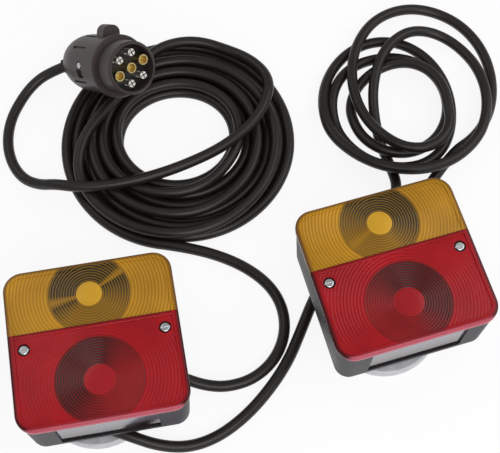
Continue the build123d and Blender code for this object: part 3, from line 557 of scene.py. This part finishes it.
def plated_metal(name, base, smooth, rough, metallic=1.0):
    """Bright plating over a drawn or turned surface: a clear sheen with small cloudy patches."""
    material, tree, shader = new_material(name, Metallic=metallic)
    place = add_node(tree, "ShaderNodeTexCoord").outputs["Object"]
    cloud = add_node(
        tree, "ShaderNodeTexNoise", {"Vector": place, "Scale": pattern_scale(5), "Detail": 5.0}
    )
    mottled(tree, shader, cloud.outputs["Fac"], (tone(base, 0.78), tone(base, 1.12)), (smooth, rough))
    return material


def rubber(name, base):
    """Moulded rubber, or ground ferrite, which looks much like it: matt and dark with a faint bloom."""
    material, tree, shader = new_material(name, IOR=1.52)
    place = add_node(tree, "ShaderNodeTexCoord").outputs["Object"]
    bloom = add_node(
        tree, "ShaderNodeTexNoise", {"Vector": place, "Scale": pattern_scale(9), "Detail": 5.0}
    )
    mottled(tree, shader, bloom.outputs["Fac"], (base, tone(base, 2.2)), (0.55, 0.75))
    return material


def clear_polycarbonate(low, high):
    """Clear moulded polycarbonate over a dark housing: milky where the lens lights it from above,
    dark towards its foot, glossy, with a faint ripple."""
    material, tree, shader = new_material("Clear polycarbonate", IOR=1.58, Roughness=0.14)
    place = add_node(tree, "ShaderNodeTexCoord").outputs["Object"]
    level = add_node(tree, "ShaderNodeSeparateXYZ", {"Vector": place}).outputs["Z"]
    height = add_node(tree, "ShaderNodeMapRange", {"Value": level, "From Min": low, "From Max": high})
    glow = add_node(tree, "ShaderNodeValToRGB", {"Fac": height.outputs["Result"]})
    glow.color_ramp.elements[0].color = rgba(linear("#1A1214"))
    glow.color_ramp.elements[1].color = rgba(linear("#6E6476"))
    for share, code in ((0.36, "#2A1A1E"), (0.46, "#4E4854"), (0.80, "#6A6474")):
        glow.color_ramp.elements.new(share).color = rgba(linear(code))
    tree.links.new(glow.outputs["Color"], shader.inputs["Base Color"])
    ripple = add_node(
        tree, "ShaderNodeTexNoise", {"Vector": place, "Scale": pattern_scale(6), "Detail": 1.0}
    )
    bump = add_node(
        tree, "ShaderNodeBump", {"Height": ripple.outputs["Fac"], "Strength": 0.15, "Distance": 0.0003}
    )
    tree.links.new(bump.outputs["Normal"], shader.inputs["Normal"])
    return material


def bulb_glass():
    """Blown clear glass: see-through and bright, with a gloss that varies a little."""
    material, tree, shader = new_material("Clear bulb glass", IOR=1.5, Transmission_Weight=0.9)
    place = add_node(tree, "ShaderNodeTexCoord").outputs["Object"]
    haze = add_node(tree, "ShaderNodeTexNoise", {"Vector": place, "Scale": pattern_scale(8)})
    gloss = add_node(
        tree, "ShaderNodeMapRange", {"Value": haze.outputs["Fac"], "To Min": 0.02, "To Max": 0.08}
    )
    tree.links.new(gloss.outputs["Result"], shader.inputs["Roughness"])
    return material


def floor_paper(base):
    """White seamless paper, without a visible grain at this distance: bright, with a light shadow."""
    material, tree, shader = new_material("White paper", Roughness=0.9)
    place = add_node(tree, "ShaderNodeTexCoord").outputs["Object"]
    cloud = add_node(tree, "ShaderNodeTexNoise", {"Vector": place, "Scale": pattern_scale(300)})
    shade = add_node(
        tree, "ShaderNodeMix",
        {"Factor": cloud.outputs["Fac"], "A": rgba(tone(base, 0.985)), "B": rgba(base)}, data_type="RGBA",
    )
    tree.links.new(shade.outputs["Result"], shader.inputs["Base Color"])
    path = add_node(tree, "ShaderNodeLightPath")
    seen = path.outputs["Is Camera Ray"]
    for ray in ("Is Glossy Ray", "Is Transmission Ray"):
        seen = add_node(
            tree, "ShaderNodeMath", {0: seen, 1: path.outputs[ray]}, operation="MAXIMUM"
        ).outputs["Value"]
    share = add_node(tree, "ShaderNodeMath", {0: seen, 1: FLOOR_WHITE}, operation="MULTIPLY")
    white = add_node(tree, "ShaderNodeEmission", {"Color": (1, 1, 1, 1), "Strength": 1.0})
    mixed = add_node(
        tree, "ShaderNodeMixShader",
        {"Fac": share.outputs["Value"], 1: shader.outputs["BSDF"], 2: white.outputs["Emission"]},
    )
    tree.links.new(mixed.outputs["Shader"], tree.nodes["Material Output"].inputs["Surface"])
    return material


def finished(bm, name, material=None, keep_angle=30):
    """A mesh object from a bmesh, smooth but for its sharp edges."""
    bmesh.ops.recalc_face_normals(bm, faces=bm.faces[:])
    for edge in bm.edges:
        edge.smooth = edge.calc_face_angle(0.0) < math.radians(keep_angle)
    for face in bm.faces:
        face.smooth = True
    mesh = bpy.data.meshes.new(name)
    bm.to_mesh(mesh)
    bm.free()
    piece = bpy.data.objects.new(name, mesh)
    bpy.context.scene.collection.objects.link(piece)
    if material:
        mesh.materials.append(material)
    return piece


def paint(material, *nodes):
    """Gives CAD nodes their finish."""
    for node in nodes:
        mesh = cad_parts[node].data
        mesh.materials.clear()
        mesh.materials.append(material)


def lathe(bm, profile, centre, steps):
    """Spins a closed (radius, height) outline about an upright line."""
    ring = [bm.verts.new((centre[0] + radius, centre[1], height)) for radius, height in profile]
    edges = [bm.edges.new(pair) for pair in zip(ring, ring[1:] + ring[:1])]
    before = set(bm.verts) - set(ring)
    bmesh.ops.spin(
        bm, geom=ring + edges, cent=(*centre, 0), axis=(0, 0, 1), angle=math.tau, steps=steps, use_merge=True
    )
    made = [vert for vert in bm.verts if vert not in before]
    bmesh.ops.remove_doubles(bm, verts=made, dist=MERGE)


def cut(bm, point, normal):
    """Cuts away what lies beyond a plane and closes the cut."""
    whole = bm.verts[:] + bm.edges[:] + bm.faces[:]
    result = bmesh.ops.bisect_plane(
        bm, geom=whole, dist=MERGE, plane_co=point, plane_no=normal, clear_outer=True
    )
    edges = [item for item in result["geom_cut"] if isinstance(item, bmesh.types.BMEdge)]
    bmesh.ops.holes_fill(bm, edges=edges, sides=0)


def round_edges(bm, edges, offset, segments):
    """Rounds edges, without a material of their own."""
    bmesh.ops.bevel(
        bm, geom=edges, offset=offset, segments=segments, profile=0.5, affect="EDGES", material=-1
    )


def lens_shell(low_y, high_y):
    """One colour of the lens: a hollow cap with a rounded edge and a sunk field, cut at the dividing line."""
    size = sizes()
    bm = bmesh.new()
    bmesh.ops.create_cube(bm, size=1.0)
    bmesh.ops.scale(bm, vec=(LAMP_WIDTH, LAMP_HEIGHT, FACE_Z - SKIRT_Z), verts=bm.verts)
    bmesh.ops.translate(bm, vec=(0, 0, (FACE_Z + SKIRT_Z) / 2), verts=bm.verts)
    upright = [e for e in bm.edges if abs(e.verts[0].co.z - e.verts[1].co.z) > UPRIGHT]
    round_edges(bm, upright, CORNER_RADIUS, 10)
    top = max(bm.faces, key=lambda face: face.calc_center_median().z)
    round_edges(bm, top.edges[:], size.edge, 5)
    top = max(bm.faces, key=lambda face: (face.calc_center_median().z, face.calc_area()))
    bmesh.ops.inset_region(bm, faces=[top], thickness=size.border - size.edge, use_even_offset=True)
    bmesh.ops.inset_region(
        bm, faces=[top], thickness=FIELD_SLOPE, depth=-size.field_depth, use_even_offset=True
    )
    bottom = min(bm.faces, key=lambda face: face.calc_center_median().z)
    bmesh.ops.inset_region(bm, faces=[bottom], thickness=LENS_WALL, use_even_offset=True)
    hollow = bmesh.ops.extrude_discrete_faces(bm, faces=[bottom])["faces"]
    bmesh.ops.translate(bm, vec=(0, 0, FACE_Z - SKIRT_Z - LENS_FACE), verts=hollow[0].verts[:])
    cut(bm, (0, low_y, 0), (0, -1, 0))
    cut(bm, (0, high_y, 0), (0, 1, 0))
    return bm


def ring_field(eye_y, disc, zone, low_y, high_y):
    """The eye and its rings, spun as one plate and cut to the sunk field."""
    size = sizes()
    floor = FACE_Z - size.field_depth
    profile = [(0.0, floor - PLATE_DEPTH)]
    profile += [(disc * share, floor + rise) for share, rise in EYE_CROWN]
    radius = disc
    while radius < RING_REACH:
        pitch = size.close_pitch if radius < zone - size.close_pitch / 2 else size.wide_pitch
        for share, rise in RING_SHAPE:
            profile.append((radius + pitch * share, floor + RING_FLOOR + size.ring_rise * rise))
        radius += pitch
    profile.append((radius, floor - PLATE_DEPTH))
    plate = bmesh.new()
    lathe(plate, profile, (0.0, eye_y), RING_STEPS)
    half = LAMP_WIDTH / 2 - size.border
    tall = LAMP_HEIGHT / 2 - size.border
    cut(plate, (half, 0, 0), (1, 0, 0))
    cut(plate, (-half, 0, 0), (-1, 0, 0))
    cut(plate, (0, min(high_y, tall), 0), (0, 1, 0))
    cut(plate, (0, max(low_y, -tall), 0), (0, -1, 0))
    for side in (-1, 1):
        for end in (1, -1):
            middle = Vector((side * (half - FIELD_CORNER), end * (tall - FIELD_CORNER), 0))
            for turn in CORNER_CUTS:
                slope = Vector((side * math.cos(math.radians(turn)), end * math.sin(math.radians(turn)), 0))
                cut(plate, tuple(middle + slope * FIELD_CORNER), tuple(slope))
    return plate


def join(bm, other):
    """Adds one mesh to another."""
    mesh = bpy.data.meshes.new("joined")
    other.to_mesh(mesh)
    other.free()
    bm.from_mesh(mesh)
    bpy.data.meshes.remove(mesh)


def drill(bm, places, radius, bottom):
    """Sinks a round hole from above at each place, down to a level, and returns the drilled mesh."""
    tool = bmesh.new()
    for place in places:
        pin = bmesh.ops.create_cone(
            tool, cap_ends=True, segments=WELL_STEPS, radius1=radius, radius2=radius, depth=DRILL_LENGTH
        )
        bmesh.ops.translate(tool, vec=(*place, bottom + DRILL_LENGTH / 2), verts=pin["verts"])
    work = finished(bm, "work")
    cutter = finished(tool, "cutter")
    step = work.modifiers.new("holes", "BOOLEAN")
    step.object = cutter
    step.operation = "DIFFERENCE"
    step.solver = "EXACT"
    mesh = bpy.data.meshes.new_from_object(work.evaluated_get(bpy.context.evaluated_depsgraph_get()))
    drilled = bmesh.new()
    drilled.from_mesh(mesh)
    bpy.data.meshes.remove(mesh)
    for piece in (work, cutter):
        bpy.data.meshes.remove(piece.data)
    return drilled


def screw_wells(bm, places):
    """A sunk floor and wall for each lens screw."""
    radius = sizes().well_radius
    wall = radius + WELL_WALL
    field = FACE_Z - sizes().field_depth
    floor = FACE_Z - sizes().well_depth
    profile = [
        (SCREW_HOLE, SKIRT_Z),
        (wall, SKIRT_Z),
        (wall, field),
        (wall - WELL_LIP, field + WELL_LIP),
        (radius + WELL_LIP * 1.5, field + WELL_LIP),
        (radius, field - WELL_LIP / 2),
        (radius, floor),
        (SCREW_HOLE, floor),
    ]
    for place in places:
        lathe(bm, profile, place, WELL_STEPS)


def rim_distance(x, y):
    """How far a point lies inside the lamp's rounded outline."""
    across = abs(x) - (LAMP_WIDTH / 2 - CORNER_RADIUS)
    along = abs(y) - (LAMP_HEIGHT / 2 - CORNER_RADIUS)
    return CORNER_RADIUS - math.hypot(max(across, 0.0), max(along, 0.0)) - min(max(across, along), 0.0)


def map_lens(bm, eye_y, wells=()):
    """Two maps in metres, which the lens' colours follow: the place from the eye, and the distance from
    the rim with the height on the lamp. The red half has a rim along the dividing line, and its wells take
    the rim's dark tint as painted shade."""
    eye = bm.loops.layers.uv.new("eye")
    rim = bm.loops.layers.uv.new("rim")
    well_reach = sizes().well_radius + WELL_CLEARANCE
    field_reach = LAMP_WIDTH / 2 - sizes().border + FIELD_SLACK
    for face in bm.faces:
        middle = face.calc_center_median()
        well_shaded = any(math.dist(middle.xy, well) < well_reach for well in wells)
        within = max(abs(vert.co.x) for vert in face.verts) < field_reach
        for loop in face.loops:
            x, y, z = loop.vert.co
            loop[eye].uv = (x, y - eye_y)
            inside = rim_distance(x, y)
            if within and eye_y < DIVIDE_Y:
                inside = min(inside, DIVIDE_Y - y + DIVIDE_RIM)
            # Faces in a screw well get the rim's dark tint, as painted shade.
            loop[rim].uv = (0.0 if well_shaded else inside, y)


def neighbours(values):
    """Each value with the ones beside it."""
    return [values[max(at - 1, 0):at + 2] for at in range(len(values))]


def height_over(plan, index, laid, gauge):
    """How high a point must lie, so that it and the spots half-way to its neighbours clear what is laid."""
    here = Vector(plan[index])
    height = FLOOR_STRAND
    for side in (max(index - 1, 0), index, min(index + 1, len(plan) - 1)):
        spot = (here + Vector(plan[side])) / 2
        for other_x, other_y, other_z, other in laid:
            apart = (spot.x - other_x) ** 2 + (spot.y - other_y) ** 2
            if apart < gauge ** 2 and abs(other - index) > SAME_STRAND:
                height = max(height, other_z + math.sqrt(gauge ** 2 - apart))
    return height


def rest_heights(plan, spans, gauge, known=()):
    """Heights at which a lead's turns rest on the floor and on the turns that were laid before them.
    The first points' heights may be known. The spans are in the order in which they are laid."""
    heights = [*known] + [FLOOR_STRAND] * (len(plan) - len(known))
    laid = []
    for span in spans:
        if span[0] >= len(known):
            raw = [height_over(plan, index, laid, gauge) for index in span]
            eased = [max(few) for few in neighbours(raw)]
            for index, few in zip(span, neighbours(eased)):
                heights[index] = sum(few) / len(few)
        for index in span[:-1]:
            for step in range(LAID_STEPS):
                share = step / LAID_STEPS
                x = plan[index][0] * (1 - share) + plan[index + 1][0] * share
                y = plan[index][1] * (1 - share) + plan[index + 1][1] * share
                z = heights[index] * (1 - share) + heights[index + 1] * share
                laid.append((x, y, z, index + share))
    for index in range(1, len(heights)):
        heights[index] = max(heights[index], heights[index - 1] - HUMP_STEP)
    for index in reversed(range(len(heights) - 1)):
        heights[index] = max(heights[index], heights[index + 1] - HUMP_STEP)
    return heights


def between(table, at):
    """A row of numbers read from a table of (place, row), in a straight line between its entries."""
    for (low, first), (high, second) in zip(table, table[1:]):
        if at <= high:
            share = max(0.0, (at - low) / (high - low))
            return [a + (b - a) * share for a, b in zip(first, second)]
    return table[-1][1]


def main_turns():
    """The main lead's coil, laid outside in and back out over itself, and its way over the coil. Returns
    the points, the order in which they are laid, and the coil's heights."""
    turns = MAIN_RINGS[-1][0]
    count = int(turns * POINTS_PER_TURN)
    plan = []
    heights = []
    for index in range(count + 1):
        at = turns * index / count
        turn = math.radians(MAIN_START) - math.tau * at
        across, along, rise, height = between(MAIN_RINGS, at)
        if at > TUCK_AFTER:
            aside = (math.degrees(turn) - PLUG_BEARING + 180) % 360 - 180
            tuck = TUCK * math.cos(math.radians(90) * min(1.0, abs(aside) / TUCK_REACH)) ** 2
            across -= tuck
            along -= tuck
        x = MAIN_CENTRE[0] + across * math.cos(turn)
        y = MAIN_CENTRE[1] + rise + along * math.sin(turn)
        plan.append((x, y))
        heights.append(height)
    plan += MAIN_OVER_COIL
    spans = [range(count + 1), range(count + 1, len(plan))]
    return plan, spans, heights


def link_turns():
    """The link lead's coil: a narrow loop, a bundle of smaller ones, and the widest thrown over it. Returns
    the points, the order in which they are laid, and the heights of those that lie lowest."""
    turns = LINK_LOOPS[-1][0]
    count = int(turns * POINTS_PER_TURN)
    below = LINK_OUT[-LINK_BELOW:]
    plan = [(x, y) for x, y, z in below]
    for index in range(count + 1):
        at = turns * index / count
        turn = math.radians(LINK_START) - math.tau * at
        x, y, across, along = between(LINK_LOOPS, at)
        u = across * math.cos(turn)
        v = along * math.sin(turn)
        x += u * math.cos(LINK_LEAN) - v * math.sin(LINK_LEAN)
        y += u * math.sin(LINK_LEAN) + v * math.cos(LINK_LEAN)
        plan.append((x, y))
    ends = [loop * POINTS_PER_TURN for loop in range(4)]
    ends += [4 * POINTS_PER_TURN - LINK_EARLY, count + 1]
    loops = [range(LINK_BELOW + low, LINK_BELOW + high) for low, high in zip(ends, ends[1:])]
    climb = len(LINK_CLIMB)
    spans = [range(LINK_BELOW + climb), *loops[1:], loops[0][climb:]]
    return plan, spans, [z for x, y, z in below] + LINK_CLIMB


def lead_curve(name, route, diameter, material):
    """A round lead along one smooth line inside its route's corners."""
    curve = bpy.data.curves.new(name, "CURVE")
    curve.dimensions = "3D"
    curve.resolution_u = 6
    curve.bevel_depth = diameter / 2
    curve.bevel_resolution = 5
    curve.use_fill_caps = True
    line = curve.splines.new("NURBS")
    line.points.add(len(route) - 1)
    for point, place in zip(line.points, route):
        point.co = (*place, 1.0)
    line.order_u = 3
    line.use_endpoint_u = True
    line.use_smooth = True
    curve.materials.append(material)
    piece = bpy.data.objects.new(name, curve)
    bpy.context.scene.collection.objects.link(piece)
    return piece


def aimed(thing, target):
    """Puts a light or camera into the scene, turned towards a target."""
    thing.rotation_euler = (target - thing.location).to_track_quat("-Z", "Y").to_euler()
    bpy.context.scene.collection.objects.link(thing)


class LIGHTSET_OT_stage(bpy.types.Operator):
    """Paper floor, soft studio light and the camera"""
    bl_idname = "lightset.stage"
    bl_label = "Stage"

    def execute(self, context):
        scene = context.scene
        scene.view_settings.view_transform = "Standard"
        bm = bmesh.new()
        bmesh.ops.create_grid(bm, x_segments=1, y_segments=1, size=FLOOR_HALF)
        bmesh.ops.translate(bm, vec=FLOOR_MIDDLE, verts=bm.verts)
        floor = finished(bm, "paper_floor", floor_paper(colours().floor))
        for name, place, size, power in STUDIO_LIGHTS:
            light = bpy.data.lights.new(name, "AREA")
            light.size = size
            light.energy = power
            lamp = bpy.data.objects.new(name, light)
            lamp.location = place
            aimed(lamp, LIGHT_AIM)
        world = bpy.data.worlds.new("Studio")
        world.use_nodes = True
        background = world.node_tree.nodes["Background"]
        background.inputs["Color"].default_value = (1, 1, 1, 1)
        background.inputs["Strength"].default_value = WORLD_STRENGTH
        scene.world = world
        camera = bpy.data.cameras.new("camera")
        camera.sensor_fit = "HORIZONTAL"
        camera.sensor_width = SENSOR_MM
        camera.lens = LENS_MM
        viewer = bpy.data.objects.new("camera", camera)
        viewer.location = CAMERA_PLACE
        aimed(viewer, CAMERA_AIM)
        scene.camera = viewer
        return {"FINISHED"}


class LIGHTSET_OT_leads(bpy.types.Operator):
    """The main lead from the left lamp to the plug, and the link lead between the lamps"""
    bl_idname = "lightset.leads"
    bl_label = "Leads"

    def execute(self, context):
        gauge = sizes().lead_diameter
        sheath = pvc_sheath(colours().sheath)
        plan, spans, turns = main_turns()
        heights = rest_heights(plan, spans, gauge * NESTING, turns)
        route = MAIN_FEED + [(*spot, height) for spot, height in zip(plan, heights)] + MAIN_TAIL
        main = lead_curve("main_lead", route, gauge, sheath)
        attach(main, "root")
        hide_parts("main_lead_tail", "main_coil", "main_lead_feed")
        plan, spans, below = link_turns()
        heights = rest_heights(plan, spans, gauge, below)
        coil = [(*spot, height) for spot, height in zip(plan, heights)]
        route = LINK_OUT[:-LINK_BELOW] + coil + LINK_BACK
        link = lead_curve("link_lead", route, gauge, sheath)
        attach(link, "root")
        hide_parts("link_lead_out", "link_coil", "link_lead_back")
        return {"FINISHED"}


class LIGHTSET_OT_lenses(bpy.types.Operator):
    """Amber and red lenses with their fine rings"""
    bl_idname = "lightset.lenses"
    bl_label = "Lenses"

    def execute(self, context):
        for side, place in LAMPS.items():
            self.add_amber(side, place)
            self.add_red(side, place)
        return {"FINISHED"}

    def add_amber(self, side, place):
        """The amber half: a cap with its ringed field."""
        size = sizes()
        tint = colours()
        tints = (tint.amber, tint.amber_dark, tint.amber_warm, tint.amber_bright)
        amber = lens_acrylic(
            "Amber acrylic", (size.amber_disc, size.amber_zone), *AMBER_LIGHT[side], AMBER_FAINT,
            (*tints, tint.amber_edge, tint.amber_edge),
        )
        bm = lens_shell(DIVIDE_Y, LAMP_HEIGHT)
        join(bm, ring_field(size.amber_eye, size.amber_disc, size.amber_zone, DIVIDE_Y, LAMP_HEIGHT))
        map_lens(bm, size.amber_eye)
        bmesh.ops.transform(bm, matrix=place, verts=bm.verts)
        piece = finished(bm, side + "_amber_cap", amber, LENS_SHARP)
        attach(piece, "root")
        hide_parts(side + "_amber_lens")

    def add_red(self, side, place):
        """The red half: a cap with its ringed field, screw wells and ledge."""
        size = sizes()
        tint = colours()
        tints = (tint.red, tint.red_dark, tint.red_warm, tint.red_bright)
        red = lens_acrylic(
            "Red acrylic", (size.red_disc, size.red_zone), *RED_LIGHT[side], RED_FAINT,
            (*tints, tint.red_edge, tint.red_foot),
        )
        wells = [(end * SCREW_X, DIVIDE_Y - SCREW_BELOW_DIVIDE) for end in (-1, 1)]
        hole = size.well_radius + WELL_CLEARANCE
        through = SKIRT_Z - DRILL_PAST
        bm = drill(lens_shell(-LAMP_HEIGHT, DIVIDE_Y), wells, hole, through)
        top = DIVIDE_Y - size.ledge
        rings = ring_field(size.red_eye, size.red_disc, size.red_zone, -LAMP_HEIGHT, top)
        join(bm, drill(rings, wells, hole, through))
        screw_wells(bm, wells)
        self.add_ledge(bm)
        map_lens(bm, size.red_eye, wells)
        bmesh.ops.transform(bm, matrix=place, verts=bm.verts)
        piece = finished(bm, side + "_red_cap", red, LENS_SHARP)
        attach(piece, "root")
        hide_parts(side + "_red_lens")

    def add_ledge(self, bm):
        """The plain band of the red half beside the dividing line."""
        size = sizes()
        bar = bmesh.ops.create_cube(bm, size=1.0)["verts"]
        wide = LAMP_WIDTH - 2 * size.border
        deep = size.field_depth + LEDGE_SINK
        bmesh.ops.scale(bm, vec=(wide, size.ledge, deep), verts=bar)
        bmesh.ops.translate(bm, vec=(0, DIVIDE_Y - size.ledge / 2, FACE_Z - deep / 2), verts=bar)
        edges = {edge for vert in bar for edge in vert.link_edges}
        rim = [e for e in edges if min(v.co.z for v in e.verts) > FACE_Z - LEDGE_EDGE / 2]
        round_edges(bm, rim, LEDGE_EDGE, 2)


class LIGHTSET_OT_lamps(bpy.types.Operator):
    """Finishes of the housings, windows, screws, bulbs and magnets"""
    bl_idname = "lightset.lamps"
    bl_label = "Lamps"

    def execute(self, context):
        housing = moulded_abs("Black moulded ABS", colours().housing, 0.18)
        low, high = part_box("left_plate_window")
        window = clear_polycarbonate(low[2], high[2])
        seal = rubber("Moulded rubber", linear("#141414"))
        zinc = plated_metal("Bright zinc plate", linear("#C4C6C8"), 0.18, 0.34)
        steel = plated_metal("Galvanised steel", linear("#CFCFD3"), 0.42, 0.58, 0.35)
        brass = plated_metal("Bulb brass", linear("#B8923E"), 0.2, 0.34)
        alloy = plated_metal("Aluminium rivet", linear("#B9BABC"), 0.28, 0.45)
        ferrite = rubber("Ground ferrite", linear("#2B2B2D"))
        glass = bulb_glass()
        for side in LAMPS:
            paint(housing, side + "_base")
            paint(window, side + "_plate_window")
            paint(seal, side + "_lens_gasket", side + "_magnet_spacer", side + "_link_lead_grommet")
            paint(zinc, side + "_lens_screws", side + "_magnet_stud", side + "_magnet_nut")
            paint(steel, side + "_magnet_cup")
            paint(zinc, side + "_indicator_bulb_holder", side + "_tail_bulb_holder")
            paint(brass, side + "_indicator_bulb_cap", side + "_tail_bulb_cap")
            paint(glass, side + "_indicator_bulb", side + "_tail_bulb")
            paint(alloy, side + "_holder_rivets")
            paint(ferrite, side + "_magnet_ring")
        paint(seal, "left_main_lead_grommet")
        return {"FINISHED"}


class LIGHTSET_OT_plug(bpy.types.Operator):
    """Finishes of the plug and its contacts"""
    bl_idname = "lightset.plug"
    bl_label = "Plug"

    def execute(self, context):
        shell = moulded_abs("Plug nylon", colours().plug)
        paint(shell, "plug_front", "plug_cover")
        paint(moulded_abs("Contact carrier nylon", linear("#0D0B0A")), "plug_insert")
        paint(plated_metal("Nickel plate", linear("#F4F2EC"), 0.34, 0.44), "plug_pins")
        paint(plated_metal("Turned brass", linear("#D8C48C"), 0.22, 0.36), "plug_sockets")
        paint(plated_metal("Bright zinc plate", linear("#C4C6C8"), 0.18, 0.34), "plug_clamp_screw")
        paint(rubber("Boot rubber", linear("#181818")), "plug_boot")
        return {"FINISHED"}


class LIGHTSET_PT_panel(bpy.types.Panel):
    """Lists the light set's sizes, colours and steps"""
    bl_idname = "LIGHTSET_PT_panel"
    bl_label = "Light set"
    bl_space_type = "VIEW_3D"
    bl_region_type = "UI"
    bl_category = "Light set"

    def draw(self, context):
        for group in (context.scene.light_set_sizes, context.scene.light_set_colours):
            box = self.layout.box()
            for name in group.__annotations__:
                box.prop(group, name)
        for step in STEPS:
            self.layout.operator(step.bl_idname)


STEPS = (LIGHTSET_OT_stage, LIGHTSET_OT_leads, LIGHTSET_OT_lenses, LIGHTSET_OT_lamps, LIGHTSET_OT_plug)
CLASSES = (LightSetSizes, LightSetColours, *STEPS, LIGHTSET_PT_panel)


def register():
    for item in CLASSES:
        bpy.utils.register_class(item)
    bpy.types.Scene.light_set_sizes = bpy.props.PointerProperty(type=LightSetSizes)
    bpy.types.Scene.light_set_colours = bpy.props.PointerProperty(type=LightSetColours)


def unregister():
    del bpy.types.Scene.light_set_colours
    del bpy.types.Scene.light_set_sizes
    for item in reversed(CLASSES):
        bpy.utils.unregister_class(item)


def main():
    register()
    bpy.ops.lightset.stage()
    bpy.ops.lightset.leads()
    bpy.ops.lightset.lenses()
    bpy.ops.lightset.lamps()
    bpy.ops.lightset.plug()
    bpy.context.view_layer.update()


if __name__ == "__main__":
    main()
